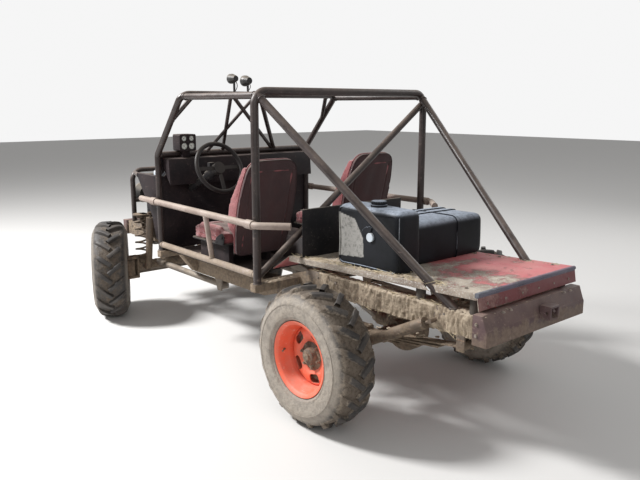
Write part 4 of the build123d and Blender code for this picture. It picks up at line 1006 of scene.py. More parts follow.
# seats: the pads are puffed by cloth, then sewn, over a stitched back cover, whose darker cloth is painted
# shade
seat = {
    "y": 0.440, "foot": (-0.1695, 0.0, 0.755), "lean": -15,
    "voxel": 0.007, "cap": 0.013, "seamDepth": 0.0075, "seamWidth": 0.0065,
    "channels": [-0.100, -0.050, 0.0, 0.050, 0.100], "insert": 0.148, "headSeam": 0.545, "frontSeam": 0.305,
}
air = {
    "quality": 4, "mass": 0.25, "tension_stiffness": 12, "compression_stiffness": 12,
    "bending_stiffness": 0.6, "use_pressure": True, "uniform_pressure_force": 4,
}
airSteps = 20


def roundedOutline(points, radius, steps=5):
    # a flat outline of pairs whose corners are turned into arcs
    made = []
    count = len(points)
    for i in range(count):
        corner = Vector(points[i])
        before, after = Vector(points[i - 1]) - corner, Vector(points[(i + 1) % count]) - corner
        reach = radius[i] if isinstance(radius, (list, tuple)) else radius
        reach = min(reach, before.length * 0.48, after.length * 0.48)
        start, end = corner + before.normalized() * reach, corner + after.normalized() * reach
        for step in range(steps + 1):
            t = step / steps
            made.append(tuple((1 - t) ** 2 * start + 2 * t * (1 - t) * corner + t * t * end))
    return made


def softenShape(piece, voxel, rounds):
    useModifier(piece, "REMESH", mode="VOXEL", voxel_size=voxel)
    return useModifier(piece, "SMOOTH", factor=0.5, iterations=rounds)


def puffUp(piece, cap):
    # air pressure inside cloth, with each point's way kept short
    before = [v.co.copy() for v in piece.data.vertices]
    pick(piece)
    cloth = piece.modifiers.new("air", "CLOTH")
    for key, value in air.items():
        setattr(cloth.settings, key, value)
    cloth.settings.effector_weights.gravity = 0
    cloth.collision_settings.use_collision = False
    cloth.point_cache.frame_start = 1
    cloth.point_cache.frame_end = airSteps
    for step in range(1, airSteps + 1):
        bpy.context.scene.frame_set(step)
    pick(piece)
    bpy.ops.object.modifier_apply(modifier=cloth.name)
    for vertex, old in zip(piece.data.vertices, before):
        way = vertex.co - old
        if way.length > cap:
            vertex.co = old + way * (cap / way.length)
    bpy.context.scene.frame_set(1)
    return piece


def reshape(piece, rule):
    # every point is moved by a rule that reads its place and its facing
    piece.data.update()
    facings = [vertex.normal.copy() for vertex in piece.data.vertices]
    moved = []
    for vertex, facing in zip(piece.data.vertices, facings):
        moved.extend(rule(vertex.co.copy(), facing))
    piece.data.vertices.foreach_set("co", moved)
    piece.data.update()
    return piece


def refine(piece, rule):
    useModifier(piece, "SUBSURF", levels=1)
    return reshape(piece, rule)


def seamPull(gap):
    # how deep a seam pulls the pad in, at a distance from it
    return seat["seamDepth"] * math.exp(-(gap / seat["seamWidth"]) ** 2)


def backSeams(spot, facing):
    # grooves of the sewn channels, read in the back's own frame
    x, y, z = spot
    if facing.x > 0.25:
        gap = abs(abs(y) - seat["insert"]) if z < seat["headSeam"] else 9
        if abs(y) < seat["insert"] and 0.05 < z < seat["headSeam"]:
            gap = min(gap, min(abs(y - c) for c in seat["channels"]))
        if abs(y) < 0.19:
            gap = min(gap, abs(z - seat["headSeam"]))
        spot.x -= seamPull(gap) * min(1.0, (facing.x - 0.25) / 0.3)
    return spot + facing * 0.0016 * math.sin(31 * z + 17 * y) * math.sin(23 * y + 9 * z)


def backOutline(foot, base, middle, head, top, corner, steps=5):
    # the seat back from the front, by its half widths at the foot, in the middle and at the head
    right = [(foot, base), (middle, 0.20), (middle, 0.43), (head, top)]
    left = [(-y, z) for y, z in reversed(right)]
    return roundedOutline(left[3:] + right + left[:3],
                          [corner, corner, 0.08, 0.1, 0.085, 0.085, 0.1, 0.08], steps)


def makeBackPad():
    front = backOutline(0.176, 0.028, 0.205, 0.172, 0.624, 0.03)
    core = extrudeOutline([(0.050, y, z) for y, z in front], 0.044)
    lumbar = slab((0.055, -0.150, 0.045), (0.094, 0.150, 0.30), 0.018, 3)
    pieces = [core, lumbar]
    for side in (-1, 1):
        wing = roundedOutline([(0.040, 0.085), (0.096, 0.120), (0.142, 0.185), (0.142, 0.325),
                               (0.110, 0.470), (0.078, 0.585), (0.040, 0.600)], 0.03)
        pieces.append(extrudeOutline([(x, side * 0.182, z) for x, z in wing], 0.042))
    pad = softenShape(joinAll(pieces), seat["voxel"], 6)
    return refine(puffUp(pad, seat["cap"]), backSeams)


def coverSeams(spot, facing):
    x, y, z = spot
    if facing.x < -0.3:
        out = min(1.0, (y / 0.2) ** 2 + ((z - 0.32) / 0.31) ** 2)
        seam = min(abs(abs(y) - 0.155), abs(z - 0.565)) if z < 0.565 else abs(z - 0.565)
        pull = 0.004 * math.exp(-(seam / 0.005) ** 2)
        sag = 0.0022 * math.sin(40 * y + 6 * z) * max(0.0, 1 - abs(y) / 0.16)
        spot.x = x + 0.009 * out + pull + sag + 0.002
    spot.x = max(spot.x, 0.001)
    return spot


def makeBackCover():
    # the cover behind, a little crowned, with its piping and seams
    edge = backOutline(0.188, 0.003, 0.217, 0.177, 0.637, 0.04)
    cover = softenShape(extrudeOutline([(0.021, y, z) for y, z in edge], 0.036), 0.008, 5)
    return refine(cover, coverSeams)


def makeBackPiping():
    edge = backOutline(0.186, 0.006, 0.2155, 0.1755, 0.6345, 0.04, 4)
    ring = [(0.040, y, z) for y, z in edge]
    return smoothBy(hose(ring + ring[:3], 0.0042, 8), 60)


def cushionSeams(spot, facing):
    x, y, z = spot
    if facing.z > 0.25:
        gap = abs(abs(y) - seat["insert"]) if -0.045 < x < seat["frontSeam"] else 9
        if abs(y) < seat["insert"] and x < seat["frontSeam"]:
            gap = min(gap, min(abs(y - c) for c in seat["channels"]))
        if abs(y) < 0.185:
            gap = min(gap, abs(x - seat["frontSeam"]))
        worn = math.exp(-((x - 0.13) / 0.13) ** 2 - (y / 0.13) ** 2)
        spot.z = z - seamPull(gap) - 0.007 * worn
    if (abs(facing.y) > 0.6 or facing.x > 0.6) and abs(z - 0.858) < 0.02:
        spot -= facing * 0.004 * math.exp(-((z - 0.858) / 0.005) ** 2)
    return spot + facing * 0.0014 * math.sin(37 * x + 19 * y) * math.sin(21 * y - 11 * x)


def makeCushionPad():
    plan = roundedOutline([(-0.052, -0.200), (0.366, -0.200), (0.366, 0.200), (-0.052, 0.200)], 0.05)
    pieces = [extrudeOutline([(x, y, 0.862) for x, y in plan], 0.070)]
    for side in (-1, 1):
        wing = roundedOutline([(-0.010, 0.840), (0.318, 0.840), (0.306, 0.926), (0.020, 0.932)], 0.03)
        pieces.append(extrudeOutline([(x, side * 0.180, z) for x, z in wing], 0.040))
    nose = slab((0.300, -0.188, 0.832), (0.368, 0.188, 0.905), 0.02, 3)
    pad = softenShape(joinAll(pieces + [nose]), seat["voxel"], 6)
    return refine(puffUp(pad, 0.010), cushionSeams)


def makeSeatBase():
    # pressed pan under the cushion, hinge plates and the lever
    pan = extrudeOutline([(x, y, 0.819) for x, y in roundedOutline(
        [(-0.058, -0.208), (0.374, -0.208), (0.374, 0.208), (-0.058, 0.208)], 0.045)], 0.009)
    bevelBy(pan, 0.002, 40)
    parts = [pan]
    for side in (-1, 1):
        plate = roundedOutline([(-0.052, 0.822), (0.060, 0.822), (0.030, 0.868), (-0.034, 0.900),
                                (-0.062, 0.880)], 0.012, 3)
        parts.append(extrudeOutline([(x, side * 0.2125, z) for x, z in plate], 0.005))
        parts.append(bar((-0.030, side * 0.209, 0.868), (-0.030, side * 0.219, 0.868), 0.013, 16))
        parts.append(bar((0.030, side * 0.209, 0.835), (0.030, side * 0.2175, 0.835), 0.007, 6))
    return smoothBy(joinAll(parts), 35)


def onInsert(face, leaning):
    # whether a face belongs to the dark channels in the middle of a pad
    if abs(face.center.y) >= seat["insert"]:
        return False
    if leaning:
        return face.center.z < seat["headSeam"] and face.normal.x > 0.25
    return face.center.x < seat["frontSeam"] and face.normal.z > 0.25


def placeSeat(source, name, hand, finish, leaning, node=None):
    # a copy for one side; a pad stands for its frame piece and has dark channels
    piece = copyOf(source)
    marks = [onInsert(face, leaning) for face in piece.data.polygons]
    move = Matrix.Translation((0, seat["y"] if hand == "left" else -seat["y"], 0))
    if leaning:
        move = move @ Matrix.Translation(seat["foot"]) @ Matrix.Rotation(math.radians(seat["lean"]), 4, "Y")
    piece.data.transform(move)
    settle(piece, name + "_" + hand, finish)
    pick(piece)
    bpy.ops.object.shade_smooth()
    if node:
        piece.data.materials.append(finishes["seatDark"])
        for face, mark in zip(piece.data.polygons, marks):
            face.material_index = int(mark)
        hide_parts(node)


backPad, backCover, backPiping = makeBackPad(), makeBackCover(), makeBackPiping()
cushionPad, seatBase = makeCushionPad(), makeSeatBase()
print("seat pads sewn:", len(backPad.data.polygons), len(cushionPad.data.polygons))
for hand in ("left", "right"):
    placeSeat(backPad, "seat_back_pad", hand, "seatMaroon", True, "seat_" + hand + "_back")
    # the back cover takes the darker copy of the seat cloth, a painted shade
    placeSeat(backCover, "seat_back_cover", hand, "seatDark", True)
    placeSeat(backPiping, "seat_back_piping", hand, "seatMaroon", True)
    placeSeat(cushionPad, "seat_cushion_pad", hand, "seatMaroon", False,
              "seat_" + hand + "_cushion")
    placeSeat(seatBase, "seat_base", hand, "blackMetal", False)
discard(backPad, backCover, backPiping, cushionPad, seatBase)
print("seats ready")


deck = {"front": -0.4495, "low": 0.790, "rise": 0.057, "long": 1.415}


# fuel tank: a blown tank with a high left part, its pinch seams, a painted highlight on one corner, cap and
# sender button
tank = {
    "front": -0.8515, "left": 0.400, "base": 0.8100, "skin": 0.004,
    "highRear": -1.3395, "highRight": 0.215, "highTop": 1.163,
    "lowRear": -1.2395, "lowRight": -0.468, "lowTop": 1.068,
    "cap": (-1.100, 0.310), "knurl": 0.0405, "button": (-1.125, 1.001),
    "patch": [(-0.850, 1.118), (-0.997, 1.088), (-1.062, 0.985), (-1.070, 0.880), (-0.850, 0.862)],
}


def insideOutline(point, outline):
    inside = False
    for i in range(len(outline)):
        (x0, y0), (x1, y1) = outline[i - 1], outline[i]
        if (y0 > point[1]) != (y1 > point[1]) and point[0] < (x1 - x0) * (point[1] - y0) / (y1 - y0) + x0:
            inside = not inside
    return inside


def deckTop(x):
    # height of the red deck at a place along the buggy
    return deck["low"] + (deck["front"] - x) * deck["rise"] / deck["long"]


def tankSkin(spot, facing):
    # the skin of a blown tank is never quite flat, and it rests on the deck
    x, y, z = spot
    wave = 0.0022 * math.sin(9 * x + 5 * y) * math.sin(11 * y + 3) + 0.0016 * math.sin(17 * z + 6 * x)
    spot += facing * wave
    spot.z = max(spot.z, deckTop(x) + 0.0015)
    return spot


def makeTankBody():
    base, skin = tank["base"], tank["skin"]
    low = slab((tank["lowRear"] + skin, tank["lowRight"] + skin, base),
               (tank["front"] - skin, 0.30, tank["lowTop"] - 0.003), 0.042, 5)
    high = slab((tank["highRear"] + skin, tank["highRight"], base),
                (tank["front"] - skin, tank["left"] - skin, tank["highTop"] - 0.003), 0.036, 5)
    body = softenShape(joinAll([low, high]), 0.0095, 5)
    return refine(body, tankSkin)


def keepBand(source, cuts):
    # the part of a copy between two planes each, as a thin raised band
    band = copyOf(source)
    for where, facing in cuts:
        editAll(bpy.ops.mesh.bisect, plane_co=where, plane_no=facing, clear_outer=True)
    useModifier(band, "SOLIDIFY", thickness=0.0065, offset=1.0)
    return band


tankBody = makeTankBody()
ridges = [
    keepBand(tankBody, [((0, -0.212, 0), (0, -1, 0)), ((0, -0.208, 0), (0, 1, 0))]),
    keepBand(tankBody, [((0, 0.3885, 0), (0, -1, 0)), ((0, 0.3925, 0), (0, 1, 0))]),
]
for where in (-1.02, -0.94):
    near, far = (where - 0.012, 0, 0), (where + 0.012, 0, 0)
    ridges.append(keepBand(tankBody, [(near, (-1, 0, 0)), (far, (1, 0, 0)), ((0, 0.10, 0), (0, 1, 0))]))
cap = tank["cap"]
capParts = [bar((*cap, 1.150), (*cap, 1.172), 0.046, 40),
            bar((*cap, 1.170), (*cap, 1.192), tank["knurl"], 40)]
for number in range(20):
    turn = fullTurn * number / 20
    x, y = cap[0] + tank["knurl"] * math.cos(turn), cap[1] + tank["knurl"] * math.sin(turn)
    capParts.append(bar((x, y, 1.173), (x, y, 1.1885), 0.0028, 8))
tankCap = joinAll(capParts)
bevelBy(tankCap, 0.0015, 50)
body = joinAll([tankBody, joinAll(ridges), tankCap])
# where the patch of dust and painted sunlight lies on the tank's left side
markPoints(body, "patch", lambda x, y, z: 1.0 if y > 0.33 and insideOutline((x, z), tank["patch"]) else 0.0)


def makeTankFinish():
    # black plastic with pale dust and a painted highlight along the top edges, and on the side one patch of
    # dust and a painted pool of sunlight
    finish, tree, shader, colour = variantOf("tankPlasticDustAndHighlight", "tankPlastic")
    spots = cloudNoise(tree, 42.0, 8, 0.75)
    # upward faces turn pale blue: dust and a painted highlight of the sky
    up = ramp(tree, axesOf(tree, facingOf(tree))[2], 0.25, 0.75)
    edge = times(tree, up, ramp(tree, spots, 0.32, 0.6, 0.25, 0.8))
    colour = blendColours(tree, edge, colour, tone(tree, (0.40, 0.45, 0.53)))
    # the grey patch on the left side: dust and a painted pool of sunlight
    mask = times(tree, readMark(tree, "patch"), ramp(tree, spots, 0.30, 0.55, 0.35, 0.95))
    colour = blendColours(tree, mask, colour, tone(tree, (0.33, 0.32, 0.30)))
    tree.links.new(colour, shader.inputs["Base Color"])
    return finish


finishes["tankPlasticDustAndHighlight"] = makeTankFinish()
smoothBy(body, 50)
settle(body, "fuel_tank_body", "tankPlasticDustAndHighlight")
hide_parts("fuel_tank")

# a pale line down the high part's rear-left corner, which is a painted highlight of the lit edge with pale
# dust, and a pale moulding seam on the low part
seamAndHighlightLines = [hose([(-1.3205, 0.3835, 0.862), (-1.3250, 0.3855, 0.99), (-1.3235, 0.3850, 1.128)], 0.0024, 8),
         hose([(-1.2395, -0.209, 0.87), (-1.2395, -0.210, 1.02), (-1.222, -0.210, 1.058)], 0.0020, 8)]
settle(smoothBy(joinAll(seamAndHighlightLines), 50), "tank_seams", "paleSeamAndHighlight")

button = tank["button"]
knob = joinAll([bar((button[0], 0.392, button[1]), (button[0], 0.4055, button[1]), 0.0245, 32),
                ringAt((button[0], 0.4035, button[1]), (0, 1, 0), 0.020, 0.0028, 32, 8)])
settle(smoothBy(knob, 40), "tank_button", "bottlePlastic")
print("tank ready")


# copies of small things: bolts, clods and straw, each kind set out by one small node tool
def makeStampTool():
    tool = bpy.data.node_groups.new("stampTool", "GeometryNodeTree")
    tool.interface.new_socket(name="Points", in_out="INPUT", socket_type="NodeSocketGeometry")
    given = tool.interface.new_socket(name="Piece", in_out="INPUT", socket_type="NodeSocketObject")
    tool.interface.new_socket(name="Pieces", in_out="OUTPUT", socket_type="NodeSocketGeometry")
    start = tool.nodes.new("NodeGroupInput")
    end = tool.nodes.new("NodeGroupOutput")
    info = tool.nodes.new("GeometryNodeObjectInfo")
    lay = tool.nodes.new("GeometryNodeInstanceOnPoints")
    real = tool.nodes.new("GeometryNodeRealizeInstances")
    tool.links.new(start.outputs["Points"], lay.inputs["Points"])
    tool.links.new(start.outputs["Piece"], info.inputs["Object"])
    tool.links.new(info.outputs["Geometry"], lay.inputs["Instance"])
    for name, target in (("turn", "Rotation"), ("size", "Scale")):
        read = tool.nodes.new("GeometryNodeInputNamedAttribute")
        read.data_type = "FLOAT_VECTOR"
        read.inputs["Name"].default_value = name
        tool.links.new(read.outputs["Attribute"], lay.inputs[target])
    tool.links.new(lay.outputs["Instances"], real.inputs["Geometry"])
    tool.links.new(real.outputs["Geometry"], end.inputs["Pieces"])
    return tool, given.identifier


stampTool, stampPiece = makeStampTool()


def stamps(source, places):
    # one copy of the source at every place: where, facing, size and spin
    spots = loopOf([where for where, facing, size, spin in places])
    turns = spots.data.attributes.new("turn", "FLOAT_VECTOR", "POINT")
    sizes = spots.data.attributes.new("size", "FLOAT_VECTOR", "POINT")
    for number, (where, facing, size, spin) in enumerate(places):
        lean = Vector(facing).to_track_quat("Z", "Y").to_matrix() @ Matrix.Rotation(spin, 3, "Z")
        turns.data[number].vector = Vector(lean.to_euler())
        sizes.data[number].vector = Vector(size) if isinstance(size, tuple) else Vector((size, size, size))
    step = spots.modifiers.new("stamp", "NODES")
    step.node_group = stampTool
    step[stampPiece] = source
    bpy.ops.object.modifier_apply(modifier=step.name)
    discard(source)
    return pick(spots)


def makeBolt():
    # a hexagon head on its washer, 16 mm over the flats at scale 1
    washer = bar((0, 0, -0.001), (0, 0, 0.0016), 0.0115, 20)
    head = bar((0, 0, 0.001), (0, 0, 0.0078), 0.0092, 6, 0.0088)
    return smoothBy(joinAll([washer, head]), 30)


def boltsAt(places, name):
    spots = [(where, facing, size, random.uniform(0, 1)) for where, facing, size in places]
    return settle(stamps(makeBolt(), spots), name, "boltSteel")


# rear deck: red paint under dirt that lies thick on the left, painted shade on its rear faces, and a steel
# strip on the rear edge
def makeDeckFinish():
    finish, tree, shader, colour = variantOf("deckWorn", "deckPaint")
    x, y, z = axesOf(tree, whereOn(tree))
    ahead, aside, up = axesOf(tree, facingOf(tree))
    clumps = cloudNoise(tree, 7.0, 10, 0.7)
    grit = cloudNoise(tree, 95.0, 6, 0.75)
    lay = plus(tree, calc(tree, "MULTIPLY_ADD", y, 1.05, 0.68), times(tree, x, 0.32))
    lay = plus(tree, plus(tree, lay, swing(tree, clumps, 2.6)), swing(tree, grit, 0.9))
    mask = times(tree, ramp(tree, lay, 0.08, 0.42), ramp(tree, up, 0.3, 0.8, 0.25, 1.0))
    flanks = ramp(tree, calc(tree, "ABSOLUTE", aside), 0.5, 0.9)
    mask = calc(tree, "MAXIMUM", mask, times(tree, flanks, ramp(tree, grit, 0.30, 0.50, 0.70, 1.0)))
    soil = blendColours(tree, ramp(tree, clumps, 0.35, 0.65), tone(tree, (0.24, 0.195, 0.155)),
                        tone(tree, (0.43, 0.37, 0.30)))
    soil = blendColours(tree, ramp(tree, grit, 0.56, 0.61), soil, tone(tree, (0.60, 0.57, 0.53)))
    # faces that point backwards, the valance, are painted dark red: this dark red is painted shade
    shade = ramp(tree, ahead, -0.9, -0.4, 0.86, 0.0)
    colour = blendColours(tree, shade, colour, tone(tree, (0.095, 0.026, 0.027)))
    colour = blendColours(tree, mask, colour, soil)
    strip = times(tree, ramp(tree, x, -1.854, -1.8525, 1.0, 0.0), ramp(tree, z, 0.8235, 0.8250))
    strip = times(tree, strip, ramp(tree, grit, 0.3, 0.6, 0.95, 0.75))
    colour = blendColours(tree, strip, colour, tone(tree, (0.085, 0.105, 0.15)))
    tree.links.new(colour, shader.inputs["Base Color"])
    bump = shader.inputs["Normal"].links[0].from_node
    lumps = times(tree, plus(tree, times(tree, clumps, 6.0), times(tree, grit, 2.0)), mask)
    tree.links.new(plus(tree, bump.inputs["Height"].links[0].from_socket, lumps), bump.inputs["Height"])
    bump.inputs["Strength"].default_value = 0.7
    bump.inputs["Distance"].default_value = 0.004
    return finish


finishes["deckWorn"] = makeDeckFinish()
dressNode("rear_deck", "deckWorn", "deck_paint", 0.001)

deckBolts = []
for side in (-1, 1):
    for number in range(8):
        x = -0.56 - 0.172 * number
        deckBolts.append(((x, side * 0.379, deckTop(x) + 0.001), upright, 0.8))
for number in range(6):
    y = -0.36 + 0.144 * number
    deckBolts.append(((-1.8725, y, 0.790), (-1, 0, 0), 0.7))
boltsAt(deckBolts, "deck_bolts")


# bumper: bolts on top and at its two ends
bumperBolts = [((-1.9245, y, 0.7445), upright, 0.85) for y in (-0.30, -0.24, 0.24, 0.30)]
for side in (-1, 1):
    for z in (0.645, 0.700):
        bumperBolts.append(((-1.872, side * 0.436, z), (0, side, 0), 0.85))
boltsAt(bumperBolts, "bumper_bolts")


# dirt that has dried on every ledge, with straw caught in it
def makeClod():
    clearSelection()
    bpy.ops.mesh.primitive_ico_sphere_add(subdivisions=3, radius=1)
    clod = bpy.context.object
    tune = bpy.data.textures.new("clodShape", "CLOUDS")
    tune.noise_scale = 0.55
    useModifier(clod, "DISPLACE", texture=tune, strength=1.5, mid_level=0.5)
    useModifier(clod, "DECIMATE", ratio=0.12)
    return smoothBy(clod, 30)


def alongLedge(start, end, count, spread, low, high):
    # squashed clods of random size along a ledge
    a, b = Vector(start), Vector(end)
    found = []
    for number in range(count):
        spot = a.lerp(b, (number + random.uniform(-0.5, 0.5)) / count)
        spot += Vector([random.uniform(-s, s) for s in spread])
        size = random.uniform(low, high) * (1.5 if random.random() < 0.12 else 1.0)
        shape = (size * random.uniform(0.8, 1.5), size * random.uniform(0.8, 1.3), size * 0.42)
        found.append((spot, upright, shape, random.uniform(0, 6.3)))
    return found


crustShape = {"ends": 0.04, "broad": 0.50, "fine": 0.36, "level": 0.46, "sink": 0.0012, "ragged": 0.004}


def crustOver(corner, along, across, out, steps, deep, bare, edges):
    # a ragged crust over one flat place: where it is bare it sinks below the metal
    clearSelection()
    bpy.ops.mesh.primitive_grid_add(x_subdivisions=steps[0], y_subdivisions=steps[1], size=1)
    crust = bpy.context.object
    corner, along, across, out = Vector(corner), Vector(along), Vector(across), Vector(out)
    flat = [0.0] * (3 * len(crust.data.vertices))
    crust.data.vertices.foreach_get("co", flat)
    for index in range(0, len(flat), 3):
        u, v = flat[index] + 0.5, flat[index + 1] + 0.5
        spot = corner + along * u + across * v
        broad = noise.fractal(spot * 9.0, 0.9, 2.1, 4)
        fine = noise.fractal(Vector((spot.x * 46.0, spot.y * 46.0, spot.z * 15.0)), 0.8, 2.1, 4)
        inward = min(1.0, u / crustShape["ends"], (1 - u) / crustShape["ends"], v / edges[0],
                     (1 - v) / edges[1])
        tall = broad * crustShape["broad"] + fine * crustShape["fine"] + crustShape["level"] - bare
        lift = deep * min(max(tall, -0.35), 0.9) * max(inward, 0.0) - crustShape["sink"]
        ragged = across.normalized() * fine + along.normalized() * broad
        spot += out * lift + ragged * crustShape["ragged"]
        flat[index:index + 3] = spot
    crust.data.vertices.foreach_set("co", flat)
    crust.data.update()
    return crust


ledges = []
for side, bare in ((1, 0.02), (-1, 0.30)):
    y, inner, aside = side * 0.4095, side * 0.350, (0, side, 0)
    ledges += [
        ((-1.842, y, 0.609), (0.80, 0, 0), (0, 0, 0.122), aside, (260, 40), 0.021, bare, (0.02, 0.06)),
        ((-1.045, y, 0.609), (0.34, 0, 0), (0, 0, 0.122), aside, (110, 40), 0.019, bare + 0.12,
         (0.02, 0.06)),
        ((-1.842, inner, 0.7285), (1.24, 0, 0), (0, side * 0.058, 0), upright, (300, 16), 0.016,
         bare + 0.1, (0.1, 0.05)),
        ((-1.842, inner, 0.6175), (1.20, 0, 0), (0, side * 0.060, 0), (0, 0, -1), (300, 16), 0.030,
         bare + 0.06, (0.1, 0.05)),
    ]
ledges += [
    ((-1.66, 0.300, deckTop(-1.66) - 0.0005), (1.20, 0, deckTop(-0.46) - deckTop(-1.66)), (0, 0.131, 0),
     upright, (320, 34), 0.016, 0.18, (0.5, 0.02)),
    ((-1.82, -0.431, deckTop(-1.82) - 0.0005), (1.36, 0, deckTop(-0.46) - deckTop(-1.82)), (0, 0.07, 0),
     upright, (300, 18), 0.011, 0.42, (0.02, 0.5)),
    ((-0.06, 0.555, 0.6735), (0.74, 0, 0), (0, 0.09, 0), upright, (180, 22), 0.014, 0.28, (0.4, 0.05)),
    ((-0.06, -0.645, 0.6735), (0.74, 0, 0), (0, 0.09, 0), upright, (180, 22), 0.014, 0.34, (0.05, 0.4)),
]
crusts = [crustOver(*ledge) for ledge in ledges]
print("crusts ready:", len(crusts))


def onDeck(x, y, lift=0.0):
    return (x, y, deckTop(x) + lift)


# along a ledge: start, end, how many, how far aside, smallest, largest
clodRows = [
    (onDeck(-0.48, 0.405), onDeck(-1.66, 0.405), 60, (0.01, 0.022, 0.001), 0.003, 0.010),
    (onDeck(-0.62, 0.33), onDeck(-1.60, 0.25), 60, (0.02, 0.08, 0.0005), 0.002, 0.007),
    ((-0.66, 0.380, 0.731), (-1.80, 0.380, 0.731), 50, (0.01, 0.022, 0.002), 0.004, 0.011),
    ((-0.84, 0.395, 0.612), (-1.83, 0.395, 0.612), 50, (0.01, 0.014, 0.004), 0.004, 0.012),
    (onDeck(-0.60, -0.40), onDeck(-1.80, -0.40), 30, (0.01, 0.026, 0.001), 0.002, 0.007),
    ((-0.50, 0.715, 0.670), (-0.50, 0.44, 0.670), 12, (0.016, 0.01, 0.001), 0.004, 0.010),
    ((-1.90, 0.42, 0.744), (-1.90, -0.42, 0.744), 16, (0.016, 0.01, 0.0005), 0.002, 0.006),
]
for side in (-1, 1):
    clodRows += [
        ((-0.05, side * 0.58, 0.674), (0.64, side * 0.58, 0.674), 30, (0.03, 0.05, 0.001), 0.003, 0.009),
        ((-1.0495, side * 0.20, 0.426), (-1.0495, side * 0.58, 0.426), 16, (0.02, 0.01, 0.004), 0.006,
         0.012),
        ((-0.90, side * 0.379, 0.470), (-1.70, side * 0.379, 0.560), 18, (0.01, 0.02, 0.006), 0.005, 0.011),
        ((1.4905, side * 0.18, 0.426), (1.4905, side * 0.50, 0.426), 12, (0.02, 0.01, 0.004), 0.006, 0.011),
    ]
clods = [clod for row in clodRows for clod in alongLedge(*row)]
settle(smoothBy(joinAll([stamps(makeClod(), clods)] + crusts), 55), "dried_clods", "clodSoil")
print("clods ready:", len(clods))


def alongStraw(start, end, count, spread, long, sag):
    # straws that lie on a ledge or hang over its edge
    a, b = Vector(start), Vector(end)
    found = []
    for number in range(count):
        spot = a.lerp(b, random.random()) + Vector([random.uniform(-s, s) for s in spread])
        turn = random.uniform(0, fullTurn)
        facing = (math.cos(turn), math.sin(turn) * 0.6, random.uniform(-sag, 0.25))
        found.append((spot, facing, (1, 1, random.uniform(0.5, 1.0) * long / 0.06), 0))
    return found


# along a ledge: start, end, how many, how far aside, how long, how far they hang
strawRows = [
    (onDeck(-0.48, 0.41, 0.008), onDeck(-1.66, 0.41, 0.008), 80, (0, 0.022, 0.005), 0.075, 0.2),
    ((-0.66, 0.40, 0.738), (-1.62, 0.40, 0.738), 45, (0, 0.016, 0.006), 0.075, 0.25),
    ((-0.84, 0.405, 0.617), (-1.82, 0.405, 0.617), 36, (0, 0.02, 0.014), 0.085, 1.6),
    (onDeck(-0.90, 0.30, 0.006), onDeck(-1.45, 0.30, 0.006), 40, (0, 0.06, 0.002), 0.06, 0.05),
    ((-0.70, -0.40, 0.735), (-1.80, -0.40, 0.735), 36, (0, 0.02, 0.004), 0.06, 0.3),
]
straws = [straw for row in strawRows for straw in alongStraw(*row)]
stem = bar((0, 0, -0.03), (0, 0, 0.03), 0.0013, 5, 0.0008)
settle(stamps(stem, straws), "dried_straw", "strawDry")
print("straw ready:", len(straws))


# cage: weld beads where tubes meet, and the bolts at its feet and along the frame
weld = {"wire": 0.0034, "uneven": 0.0022, "grain": 0.008, "sides": 30}
beadShape = bpy.data.textures.new("beadShape", "CLOUDS")
beadShape.noise_scale = weld["grain"]


def weldRing(centre, facing, radius, wire=weld["wire"]):
    # an uneven bead of weld round a tube
    ring = ringAt(centre, facing, radius, wire, weld["sides"], 8)
    return useModifier(ring, "DISPLACE", texture=beadShape, strength=weld["uneven"], mid_level=0.5)


def onScreen(share, y):
    # a point of the windshield's plane, from its foot to the header
    foot, head = (place["post"], 1.360), (place["header"], 1.778)
    return Vector((foot[0] + (head[0] - foot[0]) * share, y, foot[1] + (head[1] - foot[1]) * share))


hoopTop = Vector((place["hoop"], 0.6906, 1.7616))
beads = []
for side in (-1, 1):
    flip = Vector((1, side, 1))
    top = hoopTop * flip
    foot = Vector((-1.7045, 0.379, 0.729)) * flip
    roof = Vector((place["header"], 0.6624, 1.7604)) * flip
    down = (foot - top).normalized()
    ahead = (roof - top).normalized()
    beads += [
        weldRing(top + down * 0.033, down, 0.0245), weldRing(foot - down * 0.006, upright, 0.029, 0.004),
        weldRing(top + ahead * 0.030, ahead, 0.0215), weldRing(roof - ahead * 0.026, ahead, 0.0215),
        weldRing(onScreen(0, side * 0.6585), (0, 1, 0), 0.0212),
        weldRing((place["hoop"], side * 0.714, 0.6715), upright, 0.0255, 0.004),
        weldRing((place["post"], side * 0.680, 0.6715), upright, 0.0235, 0.004),
    ]
struts = [(1, 0.291, 0, 0.140, 0.013), (1, 0.080, 0, 0.284, 0.012), (1, 0.050, 0, -0.346, 0.016),
          (1, 0.285, 0, -0.332, 0.014), (0.55, 0.680, 1, 0.581, 0.015), (0.55, -0.680, 1, -0.581, 0.015)]
for share0, y0, share1, y1, radius in struts:
    a, b = onScreen(share0, y0), onScreen(share1, y1)
    line = (b - a).normalized()
    for end in (a + line * 0.024, b - line * 0.024):
        beads.append(weldRing(end, line, radius + 0.0004, 0.003))
settle(smoothBy(joinAll(beads), 60), "cage_welds", "cagePaint")

sideBeads = []
for side in (-1, 1):
    flip = Vector((1, side, 1))
    for centre, facing in [((0.7086, 0.6818, 0.7135), (1, -0.03, 0)),
                           ((-0.4740, 0.7130, 0.7205), (1, -0.03, 0)),
                           ((0.0134, 0.7025, 0.741), (0, 0.12, 1)),
                           ((0.0134, 0.7385, 1.0075), (0, 0.12, 1))]:
        sideBeads.append(weldRing(Vector(centre) * flip, Vector(facing) * flip,
                                  0.0212 if facing[0] else 0.0172, 0.003))
settle(smoothBy(joinAll(sideBeads), 60), "side_welds", "sidePaint")

